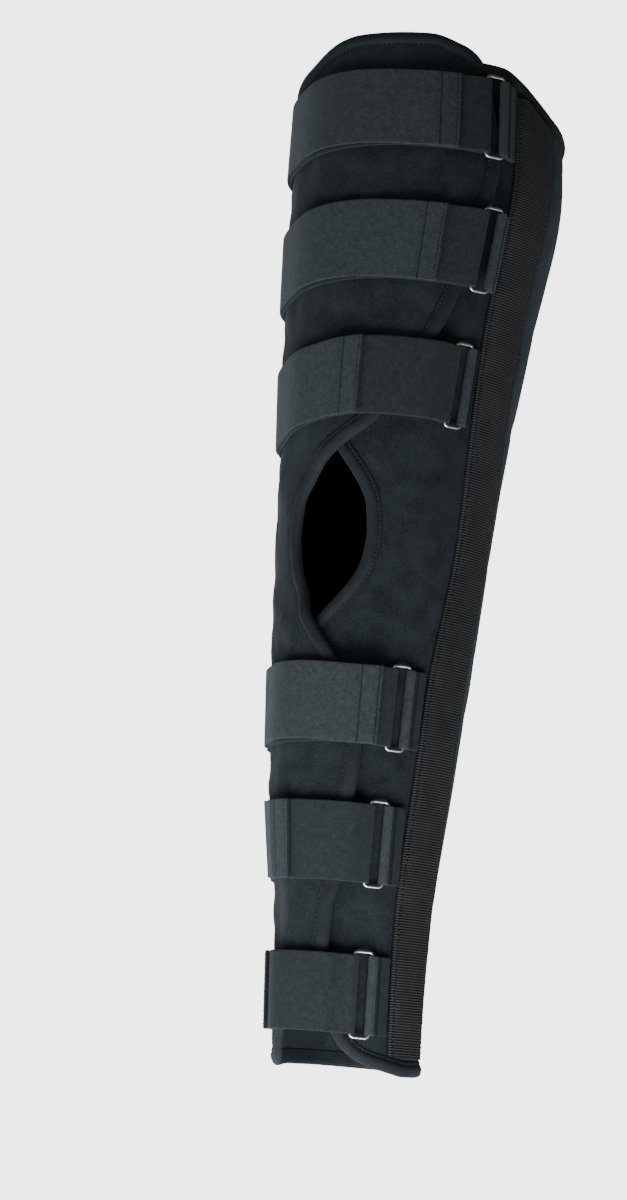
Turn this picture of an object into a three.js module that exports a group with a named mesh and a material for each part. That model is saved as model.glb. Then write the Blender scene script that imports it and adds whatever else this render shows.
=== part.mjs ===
// Knee immobilizer: three padded panels that wrap a leg, closed by six straps through wire rings.
// Millimetres, +Z up the leg, the front of the leg towards -Y, the outer side of the leg towards +X.
// The origin is on the leg's axis in the middle of the knee. Angles are degrees from the front, + outwards.
import * as THREE from "three";
import { mergeVertices } from "three/addons/utils/BufferGeometryUtils.js";

// Lengths along the leg from the middle of the knee
const thighReach = 324;
const shinReach = 338;
const rimDip = 38;
const bottomRise = 40;

// Outer width of the wrapped panels
const thighWidth = 180;
const kneeWidth = 139;
const calfWidth = 119;
const ankleWidth = 96;

// Knee opening
const openingHeight = 104;
const openingWidth = 54;
const openingTurn = 0.3;

// Cloth
const panelThickness = 3;
const tapeThickness = 0.6;
const tapeWidth = 8;
const cornerRadius = tapeWidth * 1.5;
const pocketWidth = 40;
const pocketThickness = 2.4;
const strapWidth = 50;
const strapThickness = 1.6;
const tabThickness = 1.6;
const loopThickness = 1.3;

// Wire rings
const wireRadius = 1.1;
const ringBarSpacing = 11;
const ringPlay = 0.8;
const ringCornerRadius = 2.6;

// Clearances
const seamGap = 0.3;
const layerGap = 0.35;
const wrapGap = 1.2;
const pocketGap = 0.45;
const pocketEndGap = 1.5;

// How far from a bar a strap or loop settles back onto what it lies on
const settleLength = 13;

// Where the pieces meet round the leg, in degrees
const medialSeam = -92;
const strapStart = -118;
const tabEnd = -104;
const overlapRamp = 26;
const overlapStart = 3;
const droopStart = 20;
const droopSpan = 80;
const creepSpan = 40;
const facet = 6.5;
const seatMargin = 1.5;
const stepMargin = 1;

// Shares of a strap's half width at which its seat is measured
const bandSamples = [-1, -0.75, -0.5, -0.25, 0, 0.25, 0.5, 0.75, 1];

// Heights over the leg side of the panels
const tapeRise = tapeThickness + seamGap;
const medialLift = panelThickness + 2 * tapeRise + wrapGap;
const wireHeight = layerGap + strapThickness + layerGap + wireRadius;

// How a strap steps over an edge tape and off the medial wing, in degrees before and after the wing's edge
const tapeStep = { before: 12, over: 4 };
const wingStep = { after: 1, over: 1.5 };
const rimStep = { before: 4, over: 3 };

// Shares of the strap's width and of the opening's height
const tabCreep = 0.05;
const openingRowsReach = 0.62;

const up = (share) => thighReach * share;
const down = (share) => -shinReach * share;
const open = (share) => openingHeight * share;
const radians = THREE.MathUtils.degToRad;
const degrees = THREE.MathUtils.radToDeg;
const mix = THREE.MathUtils.lerp;
const ease = (x) => THREE.MathUtils.smoothstep(x, 0, 1);

const openingHalf = degrees(openingWidth / kneeWidth);
const across = (share) => openingTurn + share * openingHalf;

// Sections of the wrapped leg: width and depth are shares of one named width, as are the shifts of the middle
const sections = [
  { level: down(1.03), size: ankleWidth, width: 0.93, depth: 1.04, out: 0.045, back: 0 },
  { level: down(0.96), size: ankleWidth, width: 0.975, depth: 1.055, out: 0.01, back: 0 },
  { level: down(0.9), size: ankleWidth, width: 0.985, depth: 1.06, out: 0, back: 0 },
  { level: down(0.725), size: ankleWidth, width: 1.04, depth: 1.13, out: -0.03, back: 0.02 },
  { level: down(0.45), size: calfWidth, width: 0.995, depth: 1.09, out: -0.05, back: 0.025 },
  { level: down(0.15), size: kneeWidth, width: 0.96, depth: 1.0, out: -0.036, back: 0.01 },
  { level: up(0.157), size: kneeWidth, width: 1.05, depth: 1.085, out: -0.018, back: 0 },
  { level: up(0.47), size: thighWidth, width: 0.912, depth: 0.95, out: 0.003, back: 0.006 },
  { level: up(0.755), size: thighWidth, width: 0.998, depth: 1.03, out: 0.026, back: 0.017 },
  { level: up(1.02), size: thighWidth, width: 0.975, depth: 1.0, out: 0.01, back: 0.011 },
];

// Free front edges of the two wings
const medialEdge = [
  { level: down(1.05), angle: 12 },
  { level: down(0.79), angle: 13.4 },
  { level: down(0.7), angle: 14.9 },
  { level: down(0.66), angle: 18 },
  { level: down(0.5), angle: 24.8 },
  { level: down(0.38), angle: 26.5 },
  { level: down(0.245), angle: 11 },
  { level: down(0.186), angle: -0.8 },
  { level: open(-0.52), angle: across(-0.27) },
  { level: open(-0.34), angle: across(-0.61) },
  { level: open(-0.22), angle: across(-0.85) },
  { level: open(0), angle: across(-1) },
  { level: open(0.19), angle: across(-0.91) },
  { level: open(0.34), angle: across(-0.57) },
  { level: open(0.53), angle: across(0.12) },
  { level: up(0.236), angle: 21 },
  { level: up(0.4), angle: 41.6 },
  { level: up(0.51), angle: 49 },
  { level: up(0.68), angle: 55.3 },
  { level: up(0.76), angle: 56.5 },
  { level: up(0.9), angle: 52 },
  { level: up(1.02), angle: 47 },
];
const lateralEdge = [
  { level: down(1.05), angle: -8 },
  { level: down(0.35), angle: -7 },
  { level: open(-0.66), angle: across(-0.32) },
  { level: open(-0.54), angle: across(-0.12) },
  { level: open(-0.4), angle: across(0.37) },
  { level: open(-0.28), angle: across(0.72) },
  { level: open(-0.17), angle: across(0.92) },
  { level: open(0), angle: across(1) },
  { level: open(0.2), angle: across(0.91) },
  { level: open(0.31), angle: across(0.72) },
  { level: open(0.42), angle: across(0.43) },
  { level: open(0.54), angle: across(0.08) },
  { level: open(0.64), angle: across(-0.16) },
  { level: up(0.3), angle: -5 },
  { level: up(1.02), angle: -4 },
];

// Middle line of the stay pocket, over the seam between the lateral wing and the back panel
const pocketLine = [
  { level: down(1.05), angle: 88 },
  { level: down(0.6), angle: 82 },
  { level: down(0.3), angle: 81.5 },
  { level: open(0), angle: 87.5 },
  { level: up(0.45), angle: 80.5 },
  { level: up(1.02), angle: 79 },
];

// The seam under it, nearly straight
const seamLine = [
  { level: down(1.05), angle: 86 },
  { level: up(1.02), angle: 80 },
];

// Top and bottom edges of the panels: dip is a share of rimDip, rise a share of bottomRise
const medialRim = [
  { angle: medialSeam, dip: 0.66, rise: 0.04 },
  { angle: -60, dip: 0.5, rise: 0 },
  { angle: -38, dip: 0.36, rise: 0.08 },
  { angle: -20, dip: 0.2, rise: 0.6 },
  { angle: 0, dip: 0.02, rise: 0.95 },
  { angle: 28, dip: 0, rise: 1 },
  { angle: 42, dip: 0.16, rise: 1 },
  { angle: 60, dip: 0.3, rise: 1 },
];
const lateralRim = [
  { angle: -20, dip: 0.62, rise: 1.3 },
  { angle: 6, dip: 0.6, rise: 1.2 },
  { angle: 22, dip: 0.55, rise: 0.53 },
  { angle: 29, dip: 0.5, rise: 0.34 },
  { angle: 42, dip: 0.36, rise: 0.16 },
  { angle: 60, dip: 0.34, rise: 0.07 },
  { angle: 71, dip: 0.5, rise: 0.03 },
  { angle: 82, dip: 0.72, rise: 0 },
  { angle: 96, dip: 0.88, rise: 0 },
];
const backRim = [
  { angle: 71, dip: 0.5, rise: 0.03 },
  { angle: 82, dip: 0.72, rise: 0 },
  { angle: 97, dip: 0.9, rise: 0 },
  { angle: 130, dip: 1, rise: 0.02 },
  { angle: 190, dip: 1, rise: 0.05 },
  { angle: 235, dip: 0.9, rise: 0.05 },
  { angle: 360 + medialSeam, dip: 0.66, rise: 0.04 },
];

// Straps, from the top of the thigh down: droop is a share of the strap's width
const straps = [
  { name: "thigh_top", level: up(0.846), ring: 53.5, seam: 40, run: 12, droop: 0.12 },
  { name: "thigh_middle", level: up(0.579), ring: 56.5, seam: 38.5, run: 12, droop: 0.22 },
  { name: "thigh_low", level: up(0.311), ring: 57, seam: 13.5, run: 14, droop: 0.34 },
  { name: "calf_top", level: down(0.322), ring: 46.5, seam: 36, run: 12, droop: 0.08 },
  { name: "calf_low", level: down(0.579), ring: 41.5, seam: -7.5, run: 16, droop: 0.04 },
  { name: "ankle", level: down(0.86), ring: 39, seam: -36, run: 18, droop: 0.04 },
];

// Smooth value of a table's column, flat past its ends, with no overshoot between its rows
function follow(rows, key, column, at) {
  const last = rows.length - 1;
  if (at <= rows[0][key]) return rows[0][column];
  if (at >= rows[last][key]) return rows[last][column];
  const slope = (i) => (rows[i + 1][column] - rows[i][column]) / (rows[i + 1][key] - rows[i][key]);
  const tangent = (i) => {
    if (i === 0 || i === last) return 0;
    const before = slope(i - 1);
    const after = slope(i);
    return before * after <= 0 ? 0 : (2 * before * after) / (before + after);
  };
  let i = 0;
  while (at > rows[i + 1][key]) i += 1;
  const step = rows[i + 1][key] - rows[i][key];
  const t = (at - rows[i][key]) / step;
  const bend = tangent(i) * step * t * (1 - t) ** 2 - tangent(i + 1) * step * t ** 2 * (1 - t);
  return mix(rows[i][column], rows[i + 1][column], t * t * (3 - 2 * t)) + bend;
}

// The middle and half sizes of the wrapped leg at a height
const formRows = sections.map((s) => ({
  level: s.level,
  width: (s.size * s.width) / 2,
  depth: (s.size * s.depth) / 2,
  out: s.size * s.out,
  back: s.size * s.back,
}));
const form = (level, column) => follow(formRows, "level", column, level);

// Distance from the middle to the outer face of a panel that lies on the leg
function radiusAt(angle, level) {
  const turn = radians(angle);
  return 1 / Math.hypot(Math.sin(turn) / form(level, "width"), Math.cos(turn) / form(level, "depth"));
}

// A point at an angle and height; out is measured from the leg side of the panels
function onForm(angle, level, out) {
  const turn = radians(angle);
  const r = radiusAt(angle, level) - panelThickness + out;
  const x = form(level, "out") + r * Math.sin(turn);
  const y = form(level, "back") - r * Math.cos(turn);
  return new THREE.Vector3(x, y, level);
}

const medialFront = (level) => follow(medialEdge, "level", "angle", level);
const lateralFront = (level) => follow(lateralEdge, "level", "angle", level);
const pocketMiddle = (level) => follow(pocketLine, "level", "angle", level);
const lateralSeam = (level) => follow(seamLine, "level", "angle", level);

// How far the medial wing stands off the leg where it lies over the lateral wing
function liftAt(angle, level) {
  return medialLift * ease((angle - lateralFront(level) + overlapRamp + overlapStart) / overlapRamp);
}

// A closed mesh from points and triangles, turned to face out
function closed(points, triangles) {
  const volume = triangles.reduce((sum, [a, b, c]) => {
    const corner = new THREE.Vector3().crossVectors(points[b], points[c]);
    return sum + points[a].dot(corner);
  }, 0);
  const facing = volume < 0 ? triangles.map(([a, b, c]) => [a, c, b]) : triangles;
  const geometry = new THREE.BufferGeometry().setFromPoints(points);
  geometry.setIndex(facing.flat());
  const merged = mergeVertices(geometry, 1e-3);
  merged.computeVertexNormals();
  return merged;
}

// A wall between two grids of points, front[row][column] and back[row][column]
function wall(front, back) {
  const rows = front.length;
  const columns = front[0].length;
  const points = [...front.flat(), ...back.flat()];
  const f = (row, column) => row * columns + column;
  const b = (row, column) => rows * columns + row * columns + column;
  const triangles = [];
  const quad = (p, q, r, s) => triangles.push([p, q, r], [p, r, s]);
  for (let j = 0; j < rows - 1; j += 1) {
    for (let i = 0; i < columns - 1; i += 1) {
      quad(f(j, i), f(j, i + 1), f(j + 1, i + 1), f(j + 1, i));
      quad(b(j, i), b(j + 1, i), b(j + 1, i + 1), b(j, i + 1));
    }
  }
  for (let i = 0; i < columns - 1; i += 1) {
    quad(b(0, i), b(0, i + 1), f(0, i + 1), f(0, i));
    quad(f(rows - 1, i), f(rows - 1, i + 1), b(rows - 1, i + 1), b(rows - 1, i));
  }
  for (let j = 0; j < rows - 1; j += 1) {
    quad(b(j + 1, 0), b(j, 0), f(j, 0), f(j + 1, 0));
    quad(f(j + 1, columns - 1), f(j, columns - 1), b(j, columns - 1), b(j + 1, columns - 1));
  }
  return closed(points, triangles);
}

// A bar with one section after another: rings[k] holds the section's points, ends is the section's triangles,
// and crossed says which of the section's sides have their diagonals the other way
function bar(rings, ends, crossed = () => false) {
  const around = rings[0].length;
  const points = rings.flat();
  const triangles = [];
  const loops = ends ? rings.length - 1 : rings.length;
  for (let k = 0; k < loops; k += 1) {
    const here = k * around;
    const next = ((k + 1) % rings.length) * around;
    for (let m = 0; m < around; m += 1) {
      const n = (m + 1) % around;
      if (crossed(m)) triangles.push([here + m, here + n, next + m], [here + n, next + n, next + m]);
      else triangles.push([here + m, here + n, next + n], [here + m, next + n, next + m]);
    }
  }
  if (ends) {
    const last = (rings.length - 1) * around;
    ends.forEach(([a, b, c]) => triangles.push([a, c, b], [last + a, last + b, last + c]));
  }
  return closed(points, triangles);
}

// Heights of the rows of a panel, as shares of the way between its two bound edges
function rowShares(openingRows, plainRows) {
  const top = up(1) - rimDip / 2;
  const bottom = down(1) + bottomRise / 2;
  const edge = open(openingRowsReach);
  const levels = [];
  for (let i = 0; i < plainRows; i += 1) levels.push(mix(bottom, -edge, i / plainRows));
  for (let i = 0; i < openingRows; i += 1) levels.push(mix(-edge, edge, i / openingRows));
  for (let i = 0; i <= plainRows; i += 1) levels.push(mix(edge, top, i / plainRows));
  return levels.map((level) => (level - bottom) / (top - bottom));
}
const wingRows = rowShares(18, 10);
const backRows = rowShares(3, 6);

// How much a rounded corner takes off an edge, a distance from the corner
function cornerCut(distance) {
  const inside = Math.min(Math.max(cornerRadius - distance, 0), cornerRadius);
  return cornerRadius - Math.sqrt(cornerRadius ** 2 - inside ** 2);
}

// The grid of angles and heights of a panel between a start and an end line
function panelGrid({ rim, start, end, rows, columns, crowd = 1, roundStart, roundEnd }) {
  const edgeSteps = [0, tapeWidth];
  const heightAt = (angle, share, from, to) => {
    const r = radiusAt(angle, 0);
    const cut = (roundStart ? cornerCut(radians(angle - from) * r) : 0) +
      (roundEnd ? cornerCut(radians(to - angle) * r) : 0);
    const top = thighReach - rimDip * follow(rim, "angle", "dip", angle) - cut;
    const bottom = -shinReach + bottomRise * follow(rim, "angle", "rise", angle) + cut;
    if (share === "bottom") return bottom;
    if (share === "top") return top;
    return mix(bottom + tapeWidth, top - tapeWidth, share);
  };
  return ["bottom", ...rows, "top"].map((share) => {
    let from = start(0);
    let to = end(0);
    for (let pass = 0; pass < 12; pass += 1) {
      from = start(heightAt(from, share, from, to));
      to = end(heightAt(to, share, from, to));
    }
    const steps = (angle, sign) => {
      const r = radiusAt(angle, heightAt(angle, share, from, to));
      return edgeSteps.map((step) => angle + (sign * degrees(step)) / r);
    };
    const first = roundStart ? steps(from, 1) : [from];
    const last = roundEnd ? steps(to, -1).reverse() : [to];
    const a = first[first.length - 1];
    const b = last[0];
    const middle = [];
    for (let i = 1; i < columns; i += 1) middle.push(mix(b, a, (1 - i / columns) ** crowd));
    return [...first, ...middle, ...last].map((angle) => ({
      angle,
      level: heightAt(angle, share, from, to),
    }));
  });
}

// A panel's wall over its grid
function panel(grid, lift) {
  const facePoint = (p, out) => onForm(p.angle, p.level, out + lift(p.angle, p.level));
  const face = (out) => grid.map((row) => row.map((p) => facePoint(p, out)));
  return wall(face(panelThickness), face(0));
}

const flat = () => 0;
const shift = (level, angle, distance) => angle + degrees(distance / radiusAt(angle, level));
const medialGrid = panelGrid({
  rim: medialRim,
  start: (level) => shift(level, medialSeam, seamGap / 2),
  end: medialFront,
  rows: wingRows,
  columns: 12,
  crowd: 1.4,
  roundEnd: true,
});
const lateralGrid = panelGrid({
  rim: lateralRim,
  start: lateralFront,
  end: (level) => shift(level, lateralSeam(level), -seamGap / 2),
  rows: wingRows,
  columns: 8,
  roundStart: true,
});
const backGrid = panelGrid({
  rim: backRim,
  start: (level) => shift(level, lateralSeam(level), seamGap / 2),
  end: (level) => shift(level, 360 + medialSeam, -seamGap / 2),
  rows: backRows,
  columns: 12,
});
const cornerColumns = 1;
const lastColumn = medialGrid[0].length - 1;

// Edge tape: a channel folded over a panel's edge
// Each stop has a point on the edge and one a tape's width inside
const channelOrder = [
  { at: "inner", side: 1, off: 1 },
  { at: "edge", side: 1, off: 1 },
  { at: "edge", side: -1, off: 1 },
  { at: "inner", side: -1, off: 1 },
  { at: "inner", side: -1, off: 0 },
  { at: "edge", side: -1, off: 0 },
  { at: "edge", side: 1, off: 0 },
  { at: "inner", side: 1, off: 0 },
];
const channelEnds = THREE.ShapeUtils.triangulateShape(
  channelOrder.map(({ at, side, off }) => {
    const wrap = seamGap + off * tapeThickness;
    return new THREE.Vector2(at === "inner" ? tapeWidth : -wrap, side * (panelThickness / 2 + wrap));
  }),
  [],
);

// The tape's facets have the diagonals of the panel's
// These run from the inner point of a stop to the edge, or from the edge
function tape(stops, lift, diagonalFrom) {
  const rings = stops.map(({ edge, inner }) => {
    const face = (p, out) => onForm(p.angle, p.level, out + lift(p.angle, p.level));
    const top = { edge: face(edge, panelThickness), inner: face(inner, panelThickness) };
    const low = { edge: face(edge, 0), inner: face(inner, 0) };
    const normals = {
      edge: top.edge.clone().sub(low.edge).normalize(),
      inner: top.inner.clone().sub(low.inner).normalize(),
    };
    const inward = top.inner.clone().sub(top.edge).normalize();
    return channelOrder.map(({ at, side, off }) => {
      const wrap = seamGap + off * tapeThickness;
      const from = side > 0 ? top : low;
      const point = from[at].clone().addScaledVector(normals[at], side * wrap);
      return at === "edge" ? point.addScaledVector(inward, -wrap) : point;
    });
  });
  const crossed = (m) => channelOrder[m].at !== diagonalFrom;
  return bar(rings, channelEnds, crossed);
}

// A stop part of the way from one stop to the next, by a length
function between(stop, next, length) {
  const part = (a, b) => {
    const turn = radians(b.angle - a.angle) * radiusAt(a.angle, a.level);
    const span = Math.hypot(turn, b.level - a.level);
    const t = span > length ? length / span : 0;
    return { angle: mix(a.angle, b.angle, t), level: mix(a.level, b.level, t) };
  };
  return { edge: part(stop.edge, next.edge), inner: part(stop.inner, next.inner) };
}

// The stops of a rim tape over one panel: round a corner they all look at the same inner point
function rimStops(grid, row, roundStart, roundEnd) {
  const inside = row === 0 ? 1 : grid.length - 2;
  const last = grid[row].length - 1;
  return grid[row].map((edge, column) => {
    let pivot = column;
    if (roundStart) pivot = Math.max(column, cornerColumns);
    if (roundEnd) pivot = Math.min(column, last - cornerColumns);
    return { edge, inner: grid[inside][pivot] };
  });
}

// The stops of the tape down a wing's free edge, which starts clear of the rim tapes
function frontStops(grid, column, inside) {
  const last = grid.length - 1;
  const stops = grid.map((row) => ({ edge: row[column], inner: row[inside] }));
  const clearOf = (near, next) => between(stops[near], stops[next], seamGap).inner;
  const low = clearOf(1, 2);
  const high = clearOf(last - 1, last - 2);
  stops[0] = { ...between(stops[0], stops[1], seamGap), inner: low };
  stops[1] = { ...stops[1], inner: low };
  stops[last] = { ...between(stops[last], stops[last - 1], seamGap), inner: high };
  stops[last - 1] = { ...stops[last - 1], inner: high };
  return stops;
}

// The rim tape runs from the medial corner round the back to the lateral corner
function rimTape(row, diagonalFrom) {
  const turned = ({ edge, inner }) => ({
    edge: { ...edge, angle: edge.angle - 360 },
    inner: { ...inner, angle: inner.angle - 360 },
  });
  const medial = rimStops(medialGrid, row(medialGrid), false, true);
  const back = rimStops(backGrid, row(backGrid), false, false).map(turned);
  const lateral = rimStops(lateralGrid, row(lateralGrid), true, false).map(turned);
  const stops = [...lateral, ...back.slice(1), ...medial.slice(1)];
  const liftOver = (angle, level) => (angle > medialSeam - 1 ? liftAt(angle, level) : 0);
  return tape(stops, liftOver, diagonalFrom);
}

// How much an edge tape under a strap stands over the panels near the top and bottom rims
function rimRise(angle, level) {
  const turned = angle < medialSeam ? angle + 360 : angle;
  const front = angle < medialFront(level) ? medialRim : lateralRim;
  const rim = angle < medialSeam ? backRim : front;
  const top = thighReach - rimDip * follow(rim, "angle", "dip", turned);
  const bottom = -shinReach + bottomRise * follow(rim, "angle", "rise", turned);
  const inside = Math.min(top - level, level - bottom);
  return tapeRise * ease((tapeWidth + rimStep.before - inside) / rimStep.over);
}

// How high the panels and tapes stand at a point, from the leg side of the panels
function stackAt(angle, level) {
  const edge = medialFront(level);
  const edgeRise = tapeRise * ease((angle - edge + tapeStep.before) / tapeStep.over);
  const cover = 1 - ease((angle - edge - wingStep.after) / wingStep.over);
  const wing = liftAt(angle, level) + Math.max(edgeRise, rimRise(angle, level));
  return panelThickness + Math.max(wing * cover, rimRise(angle, level));
}

// The place of a strap: it crosses from one lattice line to the next in flat facets
// The ring takes one of these facets
function bandOf(strap) {
  const half = strapWidth / 2;
  const droopAt = (angle) => strap.droop * strapWidth * ease((droopStart - angle) / droopSpan);
  const heightAt = (angle, side) => strap.level + side * half - droopAt(angle);
  const reach = degrees(ringBarSpacing / 2 / radiusAt(strap.ring, strap.level));
  const bars = { left: strap.ring - reach, right: strap.ring + reach };
  const seatLeft = bars.left - seatMargin;
  const seatRight = bars.right + seatMargin;
  const standing = (angle) => {
    const low = radiusAt(angle, heightAt(angle, -1));
    const high = radiusAt(angle, heightAt(angle, 1));
    return Math.max(
      ...bandSamples.map((side) => {
        const level = heightAt(angle, side);
        const ruled = mix(low, high, (side + 1) / 2);
        return stackAt(angle, level) + Math.max(radiusAt(angle, level) - ruled, 0);
      }),
    );
  };
  const rise = (angle) => Math.max(...bandSamples.map((part) => standing(angle + part * facet)));
  const sag = radiusAt(strap.ring, strap.level) * (1 - Math.cos(radians((seatRight - seatLeft) / 2)));
  const seatSamples = [0, 0.25, 0.5, 0.75, 1];
  const seat = sag + Math.max(...seatSamples.map((part) => standing(mix(seatLeft, seatRight, part))));
  const exact = (angle, side, out, shiftUp) => {
    const seated = angle > seatLeft - 0.01 && angle < seatRight + 0.01;
    const lift = out + (seated ? seat : rise(angle));
    const edgePoint = (edge) => {
      const level = heightAt(angle, edge) + shiftUp;
      const parallel = radiusAt(strap.ring, strap.level) / radiusAt(strap.ring, level);
      const turned = angle < seatLeft - 0.01 ? angle : strap.ring + (angle - strap.ring) * parallel;
      return onForm(turned, level, lift);
    };
    return edgePoint(-1).lerp(edgePoint(1), (side + 1) / 2);
  };
  const latticeAt = (angle) => {
    if (angle >= seatLeft && angle <= seatRight) return [seatLeft, seatRight];
    const anchor = angle < seatLeft ? seatLeft : seatRight;
    const low = anchor + Math.floor((angle - anchor) / facet + 1e-6) * facet;
    return [low, low + facet];
  };
  // A point over the band: side runs from -1 at its lower edge to 1 at its upper edge
  const place = (angle, side, out, shiftUp = 0) => {
    const [low, high] = latticeAt(angle);
    const t = (angle - low) / (high - low);
    return exact(low, side, out, shiftUp).lerp(exact(high, side, out, shiftUp), t);
  };
  // Angles from one to another, with a stop on each lattice line between them
  const sweep = (from, to) => {
    const lines = [];
    for (let k = 0; k < 60; k += 1) lines.push(seatLeft - k * facet, seatRight + k * facet);
    const sign = Math.sign(to - from) || 1;
    const inside = lines.filter((line) => (line - from) * sign > 0.6 && (to - line) * sign > 0.6);
    return [from, ...inside.sort((a, b) => (a - b) * sign), to];
  };
  return { place, sweep, bars };
}

// Cloth of one thickness over a path, with straight lines from its lower to its upper edge
function cloth(place, path, thickness) {
  const middle = [-1, 1].map((side) => path.map((p) => place(p.angle, side, p.out, p.up)));
  const normals = path.map((p, column) => {
    const before = middle[0][Math.max(column - 1, 0)];
    const after = middle[0][Math.min(column + 1, path.length - 1)];
    const upward = middle[1][column].clone().sub(middle[0][column]);
    return after.clone().sub(before).cross(upward).normalize();
  });
  const face = (shiftOut) =>
    middle.map((row) => row.map((p, column) => p.clone().addScaledVector(normals[column], shiftOut)));
  return wall(face(thickness / 2), face(-thickness / 2));
}

// A band that comes to a bar, turns round it and goes back over itself
function hairpin({ band, barAngle, radius, from, to, thickness }) {
  const sign = Math.sign(barAngle - from);
  const turn = wireRadius + layerGap + thickness / 2;
  const under = layerGap + thickness / 2;
  const over = under + thickness + layerGap;
  const fromBar = (angle) => radians(Math.abs(barAngle - angle)) * radius - wireRadius;
  const nearBar = (angle) => ease(1 - fromBar(angle) / settleLength);
  const overAt = (angle) => mix(over, wireHeight + turn, nearBar(angle));
  const path = band.sweep(from, barAngle).map((angle) => ({
    angle,
    out: mix(under, wireHeight - turn, nearBar(angle)),
  }));
  const turnSteps = 6;
  for (let i = 1; i <= turnSteps; i += 1) {
    const a = Math.PI * (i / turnSteps - 0.5);
    const angle = barAngle + sign * degrees((turn * Math.cos(a)) / radius);
    path.push({ angle, out: wireHeight + turn * Math.sin(a) });
  }
  band.sweep(barAngle, to).slice(1).forEach((angle) => path.push({ angle, out: overAt(angle) }));
  return { path, overAt };
}

function strapPieces(strap) {
  const band = bandOf(strap);
  const radius = radiusAt(strap.ring, strap.level) + wireHeight;
  const runEnd = strap.seam - strap.run;
  const run = hairpin({
    band,
    barAngle: band.bars.left,
    radius,
    from: strapStart,
    to: runEnd,
    thickness: strapThickness,
  });
  const layer = strapThickness + layerGap;
  const step = (strapThickness + tabThickness) / 2 + layerGap;
  const creep = (angle) => strapWidth * tabCreep * ease((runEnd - angle) / creepSpan);
  const tabPath = band.sweep(strap.seam, tabEnd).map((angle) => {
    const onRun = ease((angle - runEnd + facet + stepMargin) / facet);
    const below = layerGap + strapThickness / 2;
    return { angle, out: mix(below, run.overAt(angle), onRun) + step, up: creep(angle) };
  });
  const pocketEdges = [-1, 0, 1].map((side) => {
    const level = strap.level + (side * strapWidth) / 2;
    return shift(level, pocketMiddle(level), -pocketWidth / 2 - layerGap);
  });
  const tail = Math.min(...pocketEdges) - stepMargin;
  const loop = hairpin({
    band,
    barAngle: band.bars.right,
    radius,
    from: tail,
    to: tail,
    thickness: loopThickness,
  });
  return {
    strap: cloth(band.place, run.path, strapThickness),
    tab: cloth(band.place, tabPath, tabThickness),
    loop: cloth(band.place, loop.path, loopThickness),
    ring: ringOf(band),
  };
}

// A rounded rectangle of wire whose bars run where the strap and the loop turn
function ringOf(band) {
  const height = strapWidth + 2 * (ringPlay + wireRadius);
  const barPlace = (bar) => band.place(bar, 0, wireHeight);
  const width = barPlace(band.bars.left).distanceTo(barPlace(band.bars.right));
  const at = (x, y) =>
    band.place(mix(band.bars.left, band.bars.right, x / width + 0.5), (2 * y) / strapWidth, wireHeight);
  const right = at(width / 2, 0).sub(at(-width / 2, 0)).normalize();
  const normal = right.clone().cross(at(0, height / 2).sub(at(0, -height / 2))).normalize();
  const upward = normal.clone().cross(right);
  const cornerSteps = 3;
  const wireSides = 5;
  const rings = [];
  [[1, 1], [-1, 1], [-1, -1], [1, -1]].forEach(([toRight, toTop], quarter) => {
    for (let i = 0; i <= cornerSteps; i += 1) {
      const a = (quarter + i / cornerSteps) * (Math.PI / 2);
      const x = toRight * (width / 2 - ringCornerRadius) + ringCornerRadius * Math.cos(a);
      const y = toTop * (height / 2 - ringCornerRadius) + ringCornerRadius * Math.sin(a);
      const direction = right.clone().multiplyScalar(Math.cos(a)).addScaledVector(upward, Math.sin(a));
      const section = [];
      for (let m = 0; m < wireSides; m += 1) {
        const b = (m / wireSides) * Math.PI * 2;
        const point = at(x, y).addScaledVector(direction, wireRadius * Math.cos(b));
        section.push(point.addScaledVector(normal, wireRadius * Math.sin(b)));
      }
      rings.push(section);
    }
  });
  return bar(rings, null);
}

// The stay pocket lies over the seam, between the rim tapes
function pocketWall() {
  const columns = 5;
  const rows = 22;
  const place = (column, row, out) => {
    const share = row / rows;
    const offset = (column / columns - 0.5) * pocketWidth;
    const inset = tapeWidth + pocketEndGap;
    const top = (angle) => thighReach - inset - rimDip * follow(backRim, "angle", "dip", angle);
    const bottom = (angle) => -shinReach + inset + bottomRise * follow(backRim, "angle", "rise", angle);
    let level = mix(-shinReach, thighReach - rimDip, share);
    let angle = pocketMiddle(level);
    for (let pass = 0; pass < 4; pass += 1) {
      angle = shift(level, pocketMiddle(level), offset);
      level = mix(bottom(angle), top(angle), share);
    }
    return onForm(angle, level, panelThickness + pocketGap + out);
  };
  const face = (out) =>
    Array.from({ length: rows + 1 }, (_, row) =>
      Array.from({ length: columns + 1 }, (__, column) => place(column, row, out)),
    );
  return wall(face(pocketThickness), face(0));
}

// Finishes
const finish = (color, roughness, metalness = 0) =>
  new THREE.MeshStandardMaterial({ color, roughness, metalness });
const panelCloth = () => finish(0x1f252a, 0.95);
const tapeCloth = () => finish(0x272c2f, 0.8);
const pocketWebbing = () => finish(0x242424, 0.7);
const strapVelour = () => finish(0x303a3e, 0.95);
const tabVelour = () => finish(0x3b4649, 0.97);
const nickelWire = () => finish(0xa8a9a8, 0.28, 1);

const brace = new THREE.Group();
function add(name, geometry, material) {
  const mesh = new THREE.Mesh(geometry, material);
  mesh.name = name;
  brace.add(mesh);
}

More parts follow.
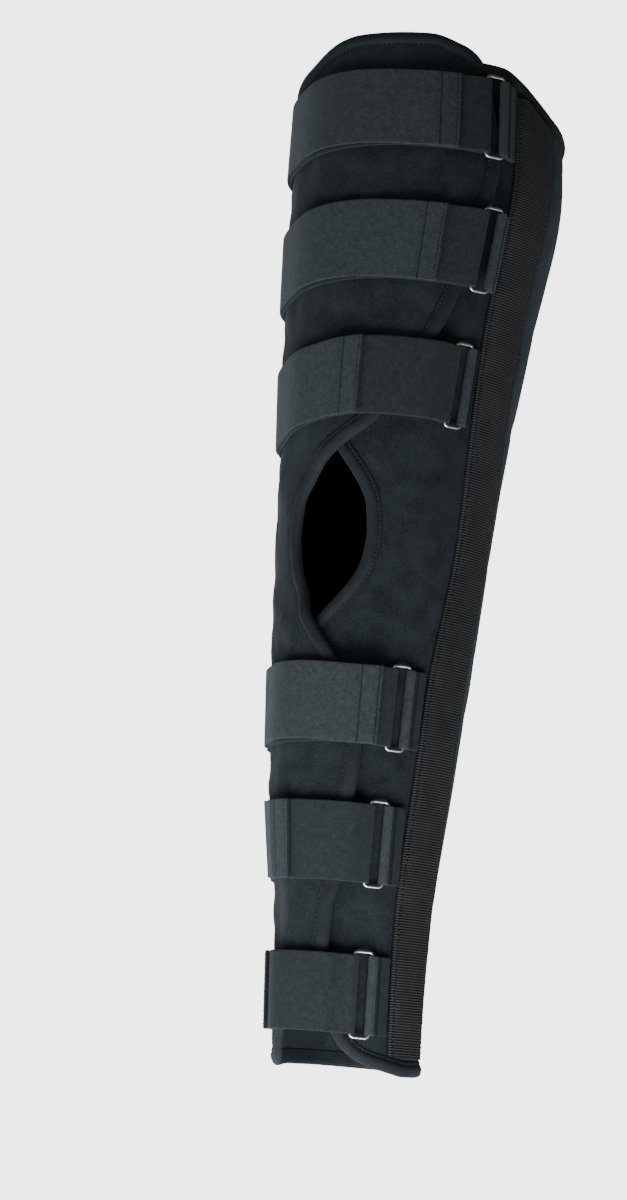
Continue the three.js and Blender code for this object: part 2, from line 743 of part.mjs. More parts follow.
add("medial_wing", panel(medialGrid, liftAt), panelCloth());
add("lateral_wing", panel(lateralGrid, flat), panelCloth());
add("back_panel", panel(backGrid, flat), panelCloth());
add("lateral_stay_pocket", pocketWall(), pocketWebbing());
add("top_edge_tape", rimTape((grid) => grid.length - 1, "inner"), tapeCloth());
add("bottom_edge_tape", rimTape(() => 0, "edge"), tapeCloth());
const medialStops = frontStops(medialGrid, lastColumn, lastColumn - cornerColumns);
add("medial_edge_tape", tape(medialStops, liftAt, "inner"), tapeCloth());
add("lateral_edge_tape", tape(frontStops(lateralGrid, 0, cornerColumns), flat, "edge"), tapeCloth());
straps.forEach((strap) => {
  const pieces = strapPieces(strap);
  add(`${strap.name}_strap`, pieces.strap, strapVelour());
  add(`${strap.name}_hook_tab`, pieces.tab, tabVelour());
  add(`${strap.name}_ring_loop`, pieces.loop, strapVelour());
  add(`${strap.name}_ring`, pieces.ring, nickelWire());
});

export default brace;
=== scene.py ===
import math
from bisect import bisect_right

import bmesh
import bpy
from mathutils import Matrix, Vector, noise


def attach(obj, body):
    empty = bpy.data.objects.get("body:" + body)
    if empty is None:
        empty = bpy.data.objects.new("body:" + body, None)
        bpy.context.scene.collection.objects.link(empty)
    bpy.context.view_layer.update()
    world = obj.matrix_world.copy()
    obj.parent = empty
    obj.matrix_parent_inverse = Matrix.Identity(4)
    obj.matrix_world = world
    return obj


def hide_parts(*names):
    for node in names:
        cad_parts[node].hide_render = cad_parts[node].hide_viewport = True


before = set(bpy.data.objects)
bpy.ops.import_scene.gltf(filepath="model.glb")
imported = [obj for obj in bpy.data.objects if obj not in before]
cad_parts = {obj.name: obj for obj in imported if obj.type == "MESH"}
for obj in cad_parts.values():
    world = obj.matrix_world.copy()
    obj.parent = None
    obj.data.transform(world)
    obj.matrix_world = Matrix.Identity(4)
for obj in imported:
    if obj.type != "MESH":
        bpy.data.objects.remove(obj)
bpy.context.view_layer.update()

mm = 0.001
scene = bpy.context.scene

# the wrapped leg, in millimetres, as the solids have it
leg = {
    "thighReach": 324, "shinReach": 338, "rimDip": 38, "bottomRise": 40,
    "thighWidth": 180, "kneeWidth": 139, "calfWidth": 119, "ankleWidth": 96,
    "openingHeight": 104, "openingWidth": 54, "openingTurn": 0.3,
    "medialSeam": -92, "overlapRamp": 26, "overlapStart": 3,
}
cloth = {"panel": 3, "tape": 0.6, "tapeWidth": 8, "cornerRadius": 12, "seamGap": 0.3, "wrapGap": 1.2}
band = {
    "width": 50, "strap": 1.6, "tab": 1.6, "loop": 1.3, "start": -118, "tabEnd": -104, "facet": 6.5,
    "gap": 0.35, "settle": 13, "droopStart": 20, "droopSpan": 80, "creep": 0.05, "creepSpan": 40,
    "pastStart": 8,
}
ring = {
    "wire": 1.1, "barSpacing": 11, "play": 0.8, "corner": 2.6, "seatMargin": 1.5, "cornerSteps": 6, "sides": 14,
}
pocket = {"width": 40, "thickness": 2.4, "gap": 0.45, "endGap": 1.5}

tapeRise = cloth["tape"] + cloth["seamGap"]
medialLift = cloth["panel"] + 2 * tapeRise + cloth["wrapGap"]
wireHeight = 2 * band["gap"] + band["strap"] + ring["wire"]
openingHalf = math.degrees(leg["openingWidth"] / leg["kneeWidth"])


def up(share):
    return leg["thighReach"] * share


def down(share):
    return -leg["shinReach"] * share


def opening(share):
    return leg["openingHeight"] * share


# a place on the knee opening's edge, as shares of its height and half width
def kneeAt(share, side):
    return opening(share), leg["openingTurn"] + side * openingHalf


def mix(a, b, t):
    return a + (b - a) * t


def ease(x):
    x = min(max(x, 0.0), 1.0)
    return x * x * (3 - 2 * x)


# a smooth line through (at, value) rows, flat past its ends
def curve(rows):
    xs = [row[0] for row in rows]
    ys = [row[1] for row in rows]
    slopes = [(ys[i + 1] - ys[i]) / (xs[i + 1] - xs[i]) for i in range(len(xs) - 1)]
    tangents = [0.0]
    for before, after in zip(slopes, slopes[1:]):
        tangents.append(0.0 if before * after <= 0 else 2 * before * after / (before + after))
    tangents.append(0.0)

    def at(x):
        if x <= xs[0]:
            return ys[0]
        if x >= xs[-1]:
            return ys[-1]
        i = bisect_right(xs, x) - 1
        step = xs[i + 1] - xs[i]
        t = (x - xs[i]) / step
        bend = tangents[i] * step * t * (1 - t) ** 2 - tangents[i + 1] * step * t * t * (1 - t)
        return mix(ys[i], ys[i + 1], t * t * (3 - 2 * t)) + bend

    return at


# level, named width, then width, depth, shift out and shift back as shares of it
sections = [
    (down(1.03), "ankleWidth", 0.93, 1.04, 0.045, 0),
    (down(0.96), "ankleWidth", 0.975, 1.055, 0.01, 0),
    (down(0.9), "ankleWidth", 0.985, 1.06, 0, 0),
    (down(0.725), "ankleWidth", 1.04, 1.13, -0.03, 0.02),
    (down(0.45), "calfWidth", 0.995, 1.09, -0.05, 0.025),
    (down(0.15), "kneeWidth", 0.96, 1.0, -0.036, 0.01),
    (up(0.157), "kneeWidth", 1.05, 1.085, -0.018, 0),
    (up(0.47), "thighWidth", 0.912, 0.95, 0.003, 0.006),
    (up(0.755), "thighWidth", 0.998, 1.03, 0.026, 0.017),
    (up(1.02), "thighWidth", 0.975, 1.0, 0.01, 0.011),
]
formWidth = curve([(level, leg[size] * w / 2) for level, size, w, d, o, b in sections])
formDepth = curve([(level, leg[size] * d / 2) for level, size, w, d, o, b in sections])
formOut = curve([(level, leg[size] * o) for level, size, w, d, o, b in sections])
formBack = curve([(level, leg[size] * b) for level, size, w, d, o, b in sections])

# free front edges of the wings, the pocket's middle and the seam under it: level, angle
medialFront = curve([
    (down(1.05), 12), (down(0.79), 13.4), (down(0.7), 14.9), (down(0.66), 18), (down(0.5), 24.8),
    (down(0.38), 26.5), (down(0.245), 11), (down(0.186), -0.8), kneeAt(-0.52, -0.27),
    kneeAt(-0.34, -0.61), kneeAt(-0.22, -0.85), kneeAt(0, -1), kneeAt(0.19, -0.91), kneeAt(0.34, -0.57),
    kneeAt(0.53, 0.12),
    (up(0.236), 21), (up(0.4), 41.6), (up(0.51), 49), (up(0.68), 55.3), (up(0.76), 56.5), (up(0.9), 52),
    (up(1.02), 47),
])
lateralFront = curve([
    (down(1.05), -8), (down(0.35), -7), kneeAt(-0.66, -0.32), kneeAt(-0.54, -0.12),
    kneeAt(-0.4, 0.37), kneeAt(-0.28, 0.72), kneeAt(-0.17, 0.92), kneeAt(0, 1), kneeAt(0.2, 0.91),
    kneeAt(0.31, 0.72), kneeAt(0.42, 0.43), kneeAt(0.54, 0.08), kneeAt(0.64, -0.16), (up(0.3), -5), (up(1.02), -4),
])
pocketMiddle = curve([
    (down(1.05), 88), (down(0.6), 82), (down(0.3), 81.5), (opening(0), 87.5), (up(0.45), 80.5), (up(1.02), 79),
])
lateralSeam = curve([(down(1.05), 86), (up(1.02), 80)])


# rims of a panel: angle, dip of the top and rise of the bottom
def rimOf(rows):
    dip = curve([(angle, d) for angle, d, r in rows])
    rise = curve([(angle, r) for angle, d, r in rows])
    return {
        "top": lambda angle: leg["thighReach"] - leg["rimDip"] * dip(angle),
        "bottom": lambda angle: -leg["shinReach"] + leg["bottomRise"] * rise(angle),
    }


medialRim = rimOf([
    (-92, 0.66, 0.04), (-60, 0.5, 0), (-38, 0.36, 0.08), (-20, 0.2, 0.6), (0, 0.02, 0.95), (28, 0, 1),
    (42, 0.16, 1), (60, 0.3, 1),
])
lateralRim = rimOf([
    (-20, 0.62, 1.3), (6, 0.6, 1.2), (22, 0.55, 0.53), (29, 0.5, 0.34), (42, 0.36, 0.16), (60, 0.34, 0.07),
    (71, 0.5, 0.03), (82, 0.72, 0), (96, 0.88, 0),
])
backRim = rimOf([
    (71, 0.5, 0.03), (82, 0.72, 0), (97, 0.9, 0), (130, 1, 0.02), (190, 1, 0.05), (235, 0.9, 0.05),
    (268, 0.66, 0.04),
])

# name, level, ring angle, seam angle, run beyond the seam, droop
straps = [
    ("thighTop", "thigh_top", up(0.846), 53.5, 40, 12, 0.12),
    ("thighMiddle", "thigh_middle", up(0.579), 56.5, 38.5, 12, 0.22),
    ("thighLow", "thigh_low", up(0.311), 57, 13.5, 14, 0.34),
    ("calfTop", "calf_top", down(0.322), 46.5, 36, 12, 0.08),
    ("calfLow", "calf_low", down(0.579), 41.5, -7.5, 16, 0.04),
    ("ankle", "ankle", down(0.86), 39, -36, 18, 0.04),
]


def radiusAt(angle, level):
    turn = math.radians(angle)
    return 1 / math.hypot(math.sin(turn) / formWidth(level), math.cos(turn) / formDepth(level))


def onForm(angle, level, out):
    turn = math.radians(angle)
    r = radiusAt(angle, level) - cloth["panel"] + out
    return Vector((formOut(level) + r * math.sin(turn), formBack(level) - r * math.cos(turn), level))


def shift(level, angle, distance):
    return angle + math.degrees(distance / radiusAt(angle, level))


# how far the medial wing is lifted where it laps over the other one
def liftAt(angle, level):
    past = angle - lateralFront(level) + leg["overlapRamp"] + leg["overlapStart"]
    return medialLift * ease(past / leg["overlapRamp"])


def flat(angle, level):
    return 0.0


# smooth unevenness: look is its strength and its scales along u and v
def uneven(look, u, v, seed=0.0):
    strength, along, across = look
    return strength * noise.noise(Vector((u * along, v * across, seed)))


# how far a strap has sunk at an angle
def droopAt(droop, angle):
    return droop * band["width"] * ease((band["droopStart"] - angle) / band["droopSpan"])


# how far a place lies from the nearest strap, of those that reach its angle
def besideStraps(angle, level, pastRing):
    front = angle - 360 if angle > 180 else angle
    nearest = math.inf
    for _, _, strapLevel, ringAngle, _, _, droop in straps:
        if band["start"] - band["pastStart"] < front < ringAngle + pastRing:
            nearest = min(nearest, abs(level - (strapLevel - droopAt(droop, front))) - band["width"] / 2)
    return nearest


# what a strap lies on: the wings, and the tapes round them; rim in millimetres, edge and cover in degrees
stack = {"rimPast": 4, "rimRamp": 3, "edgeReach": 12, "edgeRamp": 4, "coverPast": 1, "coverRamp": 1.5}


def rimRise(angle, level):
    rim = medialRim if angle < medialFront(level) else lateralRim
    rimAngle = angle
    if angle < leg["medialSeam"]:
        rim = backRim
        rimAngle = angle + 360
    inside = min(rim["top"](rimAngle) - level, level - rim["bottom"](rimAngle))
    return tapeRise * ease((cloth["tapeWidth"] + stack["rimPast"] - inside) / stack["rimRamp"])


def stackAt(angle, level):
    past = angle - medialFront(level)
    edgeRise = tapeRise * ease((past + stack["edgeReach"]) / stack["edgeRamp"])
    cover = 1 - ease((past - stack["coverPast"]) / stack["coverRamp"])
    rim = rimRise(angle, level)
    return cloth["panel"] + max((liftAt(angle, level) + max(edgeRise, rim)) * cover, rim)


# pieces start as a flat grid, whose points are put in place one by one; place gives a point in millimetres and its
# spot on the cloth's own map
def clothFrom(name, columns, rows, place):
    bm = bmesh.new()
    bmesh.ops.create_grid(bm, x_segments=columns, y_segments=rows, size=0.5)
    uvLayer = bm.loops.layers.uv.new("weave")
    maps = {}
    for vert in bm.verts:
        i = round((vert.co.x + 0.5) * columns)
        j = round((vert.co.y + 0.5) * rows)
        point, maps[vert] = place(i, j)
        vert.co = point * mm
    for face in bm.faces:
        face.smooth = True
        for loop in face.loops:
            loop[uvLayer].uv = Vector(maps[loop.vert]) * mm
    return finishMesh(name, bm)


def finishMesh(name, bm):
    mesh = bpy.data.meshes.new(name)
    bm.to_mesh(mesh)
    bm.free()
    obj = bpy.data.objects.new(name, mesh)
    scene.collection.objects.link(obj)
    return obj


def thicken(obj, thickness, offset, levels):
    solid = obj.modifiers.new("thickness", "SOLIDIFY")
    solid.thickness = thickness * mm
    solid.offset = offset
    solid.use_even_offset = True
    if levels:
        smooth = obj.modifiers.new("smooth", "SUBSURF")
        smooth.levels = levels
        smooth.render_levels = levels


def dress(obj, material, slot, *nodes):
    obj.data.materials.clear()
    obj.data.materials.append(material)
    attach(obj, "root")
    if nodes:
        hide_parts(*nodes)
    return obj


# camera and light
shot = {
    "place": (0.969, -1.678, -0.306), "lookAt": (-0.03975, -0.02295, -0.0357), "roll": 5.2,
    "focalPixels": 2964, "imageHeight": 1200, "sensor": 36,
}


def makeCamera():
    data = bpy.data.cameras.new("studioCamera")
    data.sensor_fit = "VERTICAL"
    data.sensor_height = shot["sensor"]
    data.lens = shot["focalPixels"] / shot["imageHeight"] * shot["sensor"]
    camera = bpy.data.objects.new("studioCamera", data)
    scene.collection.objects.link(camera)
    place = Vector(shot["place"])
    forward = (Vector(shot["lookAt"]) - place).normalized()
    right = forward.cross(Vector((0, 0, 1))).normalized()
    upward = right.cross(forward)
    roll = math.radians(shot["roll"])
    sideways = right * math.cos(roll) + upward * math.sin(roll)
    upright = upward * math.cos(roll) - right * math.sin(roll)
    turn = Matrix((sideways, upright, -forward)).transposed()
    camera.matrix_world = Matrix.Translation(place) @ turn.to_4x4()
    scene.camera = camera


studio = {
    "room": 0.1, "paper": 4.0, "floorHalf": 7, "floorLevel": -1.7, "floorTone": 0.86, "floorRough": 0.9,
    "floorGlow": 0.4,
}
lights = [
    # name, place, size, watts
    ("softLeft", (-0.5, -0.75, -1.05), 0.8, 9),
    ("softFront", (0.3, -0.5, -0.86), 0.6, 12),
    ("softTop", (-0.2, -1.8, 1.2), 1.4, 8),
    ("rimRight", (0.75, -0.32, -0.9), 0.7, 2.8),
    ("rimLeft", (-1.4, 0.6, -0.7), 1.0, 5),
    ("backSoft", (-1.7, 1.8, 0.9), 1.6, 20),
]


# fills a node's sockets: another node's output is linked, anything else becomes the value
def feed(tree, node, inputs):
    for label, value in inputs.items():
        if hasattr(value, "is_linked"):
            tree.links.new(value, node.inputs[label])
        else:
            node.inputs[label].default_value = value
    return node.outputs


def makeLights():
    for name, place, size, watts in lights:
        data = bpy.data.lights.new(name, "AREA")
        data.shape = "DISK"
        data.size = size
        data.energy = watts
        lamp = bpy.data.objects.new(name, data)
        scene.collection.objects.link(lamp)
        lamp.location = place
        lamp.rotation_euler = (-Vector(place)).to_track_quat("-Z", "Y").to_euler()
    world = bpy.data.worlds.new("studio")
    world.use_nodes = True
    # white paper behind the object, and a much dimmer room round it
    tree = world.node_tree
    white = (1, 1, 1, 1)
    room = feed(tree, tree.nodes["Background"], {"Color": white, "Strength": studio["room"]})
    paper = feed(tree, tree.nodes.new("ShaderNodeBackground"), {"Color": white, "Strength": studio["paper"]})
    rays = tree.nodes.new("ShaderNodeLightPath").outputs["Is Camera Ray"]
    both = feed(tree, tree.nodes.new("ShaderNodeMixShader"), {0: rays, 1: room[0], 2: paper[0]})
    feed(tree, tree.nodes["World Output"], {"Surface": both[0]})
    scene.world = world


def makeFloor():
    bm = bmesh.new()
    bmesh.ops.create_grid(bm, x_segments=1, y_segments=1, size=studio["floorHalf"])
    bmesh.ops.translate(bm, vec=(0, 0, studio["floorLevel"]), verts=bm.verts)
    floor = finishMesh("floor", bm)
    material = bpy.data.materials.new("paleFloor")
    material.use_nodes = True
    feed(material.node_tree, material.node_tree.nodes["Principled BSDF"], {
        "Base Color": (*[studio["floorTone"]] * 3, 1), "Roughness": studio["floorRough"],
        "Emission Color": (1, 1, 1, 1), "Emission Strength": studio["floorGlow"],
    })
    floor.data.materials.append(material)


# shader groups and the nodes in them
def makeGroup(name, inputs, outputs):
    group = bpy.data.node_groups.new(name, "ShaderNodeTree")
    for way, sockets in (("INPUT", inputs), ("OUTPUT", outputs)):
        for label, kind in sockets.items():
            group.interface.new_socket(label, in_out=way, socket_type="NodeSocket" + kind)
    return group, group.nodes.new("NodeGroupInput").outputs, group.nodes.new("NodeGroupOutput").inputs


def mathNode(tree, operation, a, b=None, clamp=False):
    node = tree.nodes.new("ShaderNodeMath")
    node.operation = operation
    node.use_clamp = clamp
    return feed(tree, node, {0: a} if b is None else {0: a, 1: b})[0]


def plus(tree, a, b, clamp=False):
    return mathNode(tree, "ADD", a, b, clamp)


def minus(tree, a, b, clamp=False):
    return mathNode(tree, "SUBTRACT", a, b, clamp)


def times(tree, a, b, clamp=False):
    return mathNode(tree, "MULTIPLY", a, b, clamp)


def noiseNode(tree, vector, scale, detail, rough=0.5):
    node = tree.nodes.new("ShaderNodeTexNoise")
    return feed(tree, node, {"Vector": vector, "Scale": scale, "Detail": detail, "Roughness": rough})["Fac"]


# sockets 6 and 7 of a mix node, and its output 2, are the ones for colours
def blendNode(tree, factor, first, second, mode="MIX"):
    node = tree.nodes.new("ShaderNodeMix")
    node.data_type = "RGBA"
    node.blend_type = mode
    return feed(tree, node, {"Factor": factor, 6: first, 7: second})[2]


def darken(tree, colour, mask, shade):
    return blendNode(tree, mask, colour, (shade, shade, shade, 1), "MULTIPLY")


def weaveMap(tree):
    weave = tree.nodes.new("ShaderNodeUVMap")
    weave.uv_map = "weave"
    return weave.outputs["UV"]


def splitNode(tree, vector):
    return feed(tree, tree.nodes.new("ShaderNodeSeparateXYZ"), {0: vector})


def rampNode(tree, value, start, end, low=0.0, high=1.0):
    node = tree.nodes.new("ShaderNodeMapRange")
    ends = {"From Min": start, "From Max": end, "To Min": low, "To Max": high}
    return feed(tree, node, {"Value": value, **ends})["Result"]


def groupNode(tree, key, inputs):
    node = tree.nodes.new("ShaderNodeGroup")
    node.node_tree = groups[key]
    return feed(tree, node, inputs)


# brushed pile: soft patches where the pile lies another way, under fine fibres; a noise is detail and roughness
pileLook = {
    "patchNoise": (5, 0.62), "fibreNoise": (3, 0.6), "patchShare": 0.42, "fibreShare": 0.58, "spread": 3.2,
    "patchHeight": 0.6,
}


def pileGroup():
    group, given, result = makeGroup(
        "brushedPile",
        {"Vector": "Vector", "Deep": "Color", "Light": "Color", "Patches": "Float", "Fibres": "Float",
         "Contrast": "Float"},
        {"Color": "Color", "Height": "Float"},
    )
    patches = noiseNode(group, given["Vector"], given["Patches"], *pileLook["patchNoise"])
    fibres = noiseNode(group, given["Vector"], given["Fibres"], *pileLook["fibreNoise"])
    both = plus(group, times(group, patches, pileLook["patchShare"]), times(group, fibres, pileLook["fibreShare"]))
    spread = times(group, minus(group, both, 0.5), times(group, given["Contrast"], pileLook["spread"]))
    share = plus(group, spread, 0.5, clamp=True)
    group.links.new(blendNode(group, share, given["Deep"], given["Light"]), result["Color"])
    group.links.new(plus(group, fibres, times(group, patches, pileLook["patchHeight"])), result["Height"])
    return group


# woven ribs on the cloth's own map: rows of a pitch in metres, crossed by finer threads
ribLook = {"rows": 0.4, "threads": 0.15}


def ribGroup():
    group, given, result = makeGroup(
        "wovenRibs",
        {"Vector": "Vector", "Pitch": "Float", "Thread": "Float"},
        {"Height": "Float", "Valley": "Float"},
    )
    split = splitNode(group, given["Vector"])

    def wave(coordinate, pitch):
        turns = mathNode(group, "DIVIDE", coordinate, pitch)
        return mathNode(group, "SINE", times(group, turns, 2 * math.pi))

    rows = wave(split["Y"], given["Pitch"])
    threads = wave(split["X"], given["Thread"])
    height = plus(group, times(group, rows, ribLook["rows"]), times(group, threads, ribLook["threads"]))
    group.links.new(plus(group, height, 0.5), result["Height"])
    group.links.new(minus(group, 0.5, times(group, rows, 0.5), clamp=True), result["Valley"])
    return group


# painted shade in sewn grooves, creases and along cut edges: dark lines at given distances along one direction of
# the cloth's own map, in metres
grooveShadeLook = {"detail": 2, "unevenScale": 160, "uneven": 0.0006, "strengthScale": 300, "gain": 0.8, "least": 0.5}


def grooveShadeGroup():
    labels = ("First", "Second", "Third")
    group, given, result = makeGroup(
        "sewnLines",
        {"Distance": "Float", **dict.fromkeys(labels, "Float"), "Width": "Float", "Vector": "Vector"},
        {"Mask": "Float"},
    )
    waves = noiseNode(group, given["Vector"], grooveShadeLook["unevenScale"], grooveShadeLook["detail"])
    uneven = minus(group, times(group, waves, grooveShadeLook["uneven"]), grooveShadeLook["uneven"] / 2)
    along = plus(group, given["Distance"], uneven)
    most = 0.0
    for label in labels:
        away = mathNode(group, "ABSOLUTE", minus(group, along, given[label]))
        line = minus(group, 1.0, mathNode(group, "DIVIDE", away, given["Width"]), clamp=True)
        most = mathNode(group, "MAXIMUM", most, line)
    breaks = noiseNode(group, given["Vector"], grooveShadeLook["strengthScale"], grooveShadeLook["detail"])
    strength = plus(group, times(group, breaks, grooveShadeLook["gain"]), grooveShadeLook["least"])
    group.links.new(times(group, most, strength, clamp=True), result["Mask"])
    return group


# the painted shade lines of a finish: map direction, three distances, their width, how dark, and where further
# painted shade darkens the cloth from there on
def sewn(tree, colour, place, lines):
    distance = splitNode(tree, weaveMap(tree))[lines["along"]]
    if lines.get("mirrored"):
        distance = mathNode(tree, "ABSOLUTE", distance)
    marks = dict(zip(("First", "Second", "Third"), lines["at"]))
    given = {"Distance": distance, "Vector": place, "Width": lines["width"], **marks}
    mask = groupNode(tree, "sewn", given)["Mask"]
    # painted shade along the grooves, creases and cut edges
    colour = darken(tree, colour, mask, lines["shade"])
    # painted shade on the flat cloth past a roll
    if "beyond" in lines:
        start, full, shade = lines["beyond"]
        colour = darken(tree, colour, rampNode(tree, distance, start, full), shade)
    return colour


# materials; the reliefs are bump distances in metres
surface = {
    "sheenRough": 0.45, "clothSpecular": 0.2, "metalSpecular": 0.5, "pileRelief": 0.0006, "ribRelief": 0.0005,
    "wireRelief": 0.0002, "valleyShade": 0.25,
}


# gives the material, its nodes, its shader and the object's own coordinates
def newMaterial(name, finish):
    material = bpy.data.materials.new(name)
    material.use_nodes = True
    tree = material.node_tree
    shader = tree.nodes["Principled BSDF"]
    metal = finish.get("metal", 0.0)
    feed(tree, shader, {
        "Roughness": finish["rough"], "Metallic": metal, "Sheen Weight": finish["sheen"],
        "Sheen Roughness": surface["sheenRough"], "Sheen Tint": (*finish["tint"], 1),
        "Specular IOR Level": surface["metalSpecular" if metal else "clothSpecular"],
    })
    return material, tree, shader, tree.nodes.new("ShaderNodeTexCoord").outputs["Object"]


def bumpInto(tree, shader, height, strength, distance):
    given = {"Height": height, "Strength": strength, "Distance": distance}
    bump = feed(tree, tree.nodes.new("ShaderNodeBump"), given)
    tree.links.new(bump["Normal"], shader.inputs["Normal"])


def pileNode(tree, place, finish):
    return groupNode(tree, "pile", {
        "Vector": place, "Deep": (*finish["deep"], 1), "Light": (*finish["light"], 1),
        "Patches": finish["patches"], "Fibres": finish["fibres"], "Contrast": finish["contrast"],
    })


def pileMaterial(name, finish):
    material, tree, shader, place = newMaterial(name, finish)
    pile = pileNode(tree, place, finish)
    colour = pile["Color"]
    if "lines" in finish:
        colour = sewn(tree, colour, place, finish["lines"])
    tree.links.new(colour, shader.inputs["Base Color"])
    bumpInto(tree, shader, pile["Height"], finish["bump"], surface["pileRelief"])
    return material


# pile crossed by ribs, with painted shade in their valleys, as deep as valley below ribTop's first height and
# fading to its third share at its second
def ribMaterial(name, finish):
    material, tree, shader, place = newMaterial(name, finish)
    ribs = groupNode(tree, "ribs", {"Vector": weaveMap(tree), "Pitch": finish["pitch"], "Thread": finish["thread"]})
    low, high, share = finish["ribTop"]
    depth = finish["valley"]
    # how deep the painted shade in the rib valleys is at this height
    valleyShadeDepth = rampNode(tree, splitNode(tree, place)["Z"], low, high, depth, depth * share)
    valley = times(tree, ribs["Valley"], valleyShadeDepth)
    # the pile colour with painted shade in the rib valleys
    ribbed = darken(tree, pileNode(tree, place, finish)["Color"], valley, surface["valleyShade"])
    tree.links.new(sewn(tree, ribbed, place, finish["lines"]), shader.inputs["Base Color"])
    bumpInto(tree, shader, ribs["Height"], finish["bump"], surface["ribRelief"])
    return material


def wireMaterial(name, finish):
    material, tree, shader, place = newMaterial(name, finish)
    scratches = noiseNode(tree, place, finish["scratches"], finish["detail"])
    tarnish = noiseNode(tree, place, finish["tarnish"], finish["detail"])
    colour = blendNode(tree, tarnish, (*finish["deep"], 1), (*finish["light"], 1))
    tree.links.new(colour, shader.inputs["Base Color"])
    rough = plus(tree, times(tree, tarnish, finish["roughSpread"]), finish["roughLeast"])
    tree.links.new(rough, shader.inputs["Roughness"])
    bumpInto(tree, shader, scratches, finish["bump"], surface["wireRelief"])
    return material


# the lines of a finish are painted shade in its grooves, creases and along its edges
finishes = {
    "panel": {"name": "brushedPanelCloth",
              "deep": (0.0048, 0.0071, 0.0089), "light": (0.021, 0.0288, 0.0338), "patches": 75, "fibres": 900,
              "contrast": 1.0, "bump": 0.7, "rough": 0.95, "sheen": 0.08, "tint": (0.7, 0.88, 1)},
    "strap": {"name": "strapVelour",
              "deep": (0.008, 0.011, 0.0128), "light": (0.029, 0.0368, 0.0412), "patches": 260, "fibres": 1100,
              "contrast": 0.75, "bump": 0.6, "rough": 0.97, "sheen": 0.08, "tint": (0.74, 0.9, 1)},
    "tab": {"name": "hookTabVelour",
            "deep": (0.014, 0.0188, 0.0212), "light": (0.047, 0.0588, 0.065), "patches": 280, "fibres": 1200,
            "contrast": 0.85, "bump": 0.8, "rough": 0.98, "sheen": 0.12, "tint": (0.76, 0.91, 1),
            "lines": {"along": 0, "at": (0.0004, 0.0027, 0.0136), "width": 0.0009, "shade": 0.16}},
    # the ring loop: its roll keeps the lighter colour as a painted highlight, and the flat cloth past it gets
    # painted shade
    "loop": {"name": "ringLoopVelour",
             "deep": (0.015, 0.02, 0.0224), "light": (0.046, 0.0575, 0.0635), "patches": 260, "fibres": 1100,
             "contrast": 0.75, "bump": 0.6, "rough": 0.97, "sheen": 0.1, "tint": (0.76, 0.91, 1),
             "lines": {"along": 0, "at": (0.007, 0.011, 0.2), "width": 0.0012, "shade": 0.12,
                       "beyond": (0.007, 0.009, 0.5)}},
    "tape": {"name": "edgeTapeKnit",
             "deep": (0.0056, 0.0084, 0.0104), "light": (0.019, 0.0266, 0.0316), "patches": 140, "fibres": 1200,
             "pitch": 0.0011, "thread": 0.0011, "valley": 0.25, "ribTop": (0, 1, 1), "contrast": 0.7, "bump": 0.4,
             "rough": 0.75, "sheen": 0.06, "tint": (0.7, 0.88, 1),
             "lines": {"along": 1, "at": (0.0002, 0.002, 0.2), "width": 0.0009, "shade": 0.2}},
    "pocket": {"name": "stayPocketWebbing",
               "deep": (0.01, 0.0107, 0.0113), "light": (0.041, 0.0432, 0.045), "patches": 60, "fibres": 1200,
               "pitch": 0.0017, "thread": 0.0009, "valley": 0.8, "ribTop": (-0.06, 0.078, 0.45), "contrast": 0.8,
               "bump": 0.8, "rough": 0.55, "sheen": 0.03, "tint": (0.9, 0.96, 1),
               "lines": {"along": 0, "mirrored": True, "at": (0.0166, 0.0198, 0.2), "width": 0.0012, "shade": 0.2}},
    "thread": {"name": "sewingThread",
               "deep": (0.014, 0.018, 0.021), "light": (0.046, 0.056, 0.063), "patches": 300, "fibres": 2500,
               "contrast": 1.0, "bump": 0.3, "rough": 0.55, "sheen": 0.1, "tint": (0.9, 0.96, 1)},
    "wire": {"name": "nickelWire",
             "deep": (0.42, 0.42, 0.41), "light": (0.66, 0.66, 0.65), "scratches": 700, "tarnish": 120, "detail": 3,
             "roughSpread": 0.25, "roughLeast": 0.18, "bump": 0.12, "rough": 0.3, "metal": 1.0, "sheen": 0,
             "tint": (1, 1, 1)},
}
groups = {"pile": pileGroup(), "ribs": ribGroup(), "sewn": grooveShadeGroup()}
makers = {"tape": ribMaterial, "pocket": ribMaterial, "wire": wireMaterial}
materials = {key: makers.get(key, pileMaterial)(finish["name"], finish) for key, finish in finishes.items()}
makeCamera()
makeLights()
makeFloor()
print("studio and finishes ready")

# padded panels; caps in millimetres, and the radius that turns their angles into map lengths
panels = {
    "rows": 108, "edgeCell": 0.08, "fill": 0.9, "frames": 18, "pressure": 2.2, "slack": 0.01, "inCap": 0.5,
    "firstLevels": (-300, 290), "passes": 8, "mapRadius": 75,
}


def cornerCut(distance):
    radius = cloth["cornerRadius"]
    inside = min(max(radius - distance, 0.0), radius)
    return radius - math.sqrt(radius * radius - inside * inside)


# a point of a panel: s runs between its start and end lines, t from the bottom rim to the top rim
def panelPoint(panel, s, t):
    rim = panel["rim"]
    level = mix(*panels["firstLevels"], t)
    for _ in range(panels["passes"]):
        start = panel["start"](level)
        end = panel["end"](level)
        angle = mix(start, end, s)
        radius = radiusAt(angle, level)
        cut = 0.0
        if panel["roundStart"]:
            cut += cornerCut(math.radians(angle - start) * radius)
        if panel["roundEnd"]:
            cut += cornerCut(math.radians(end - angle) * radius)
        level = mix(rim["bottom"](angle) + cut, rim["top"](angle) - cut, t)
    return angle, level


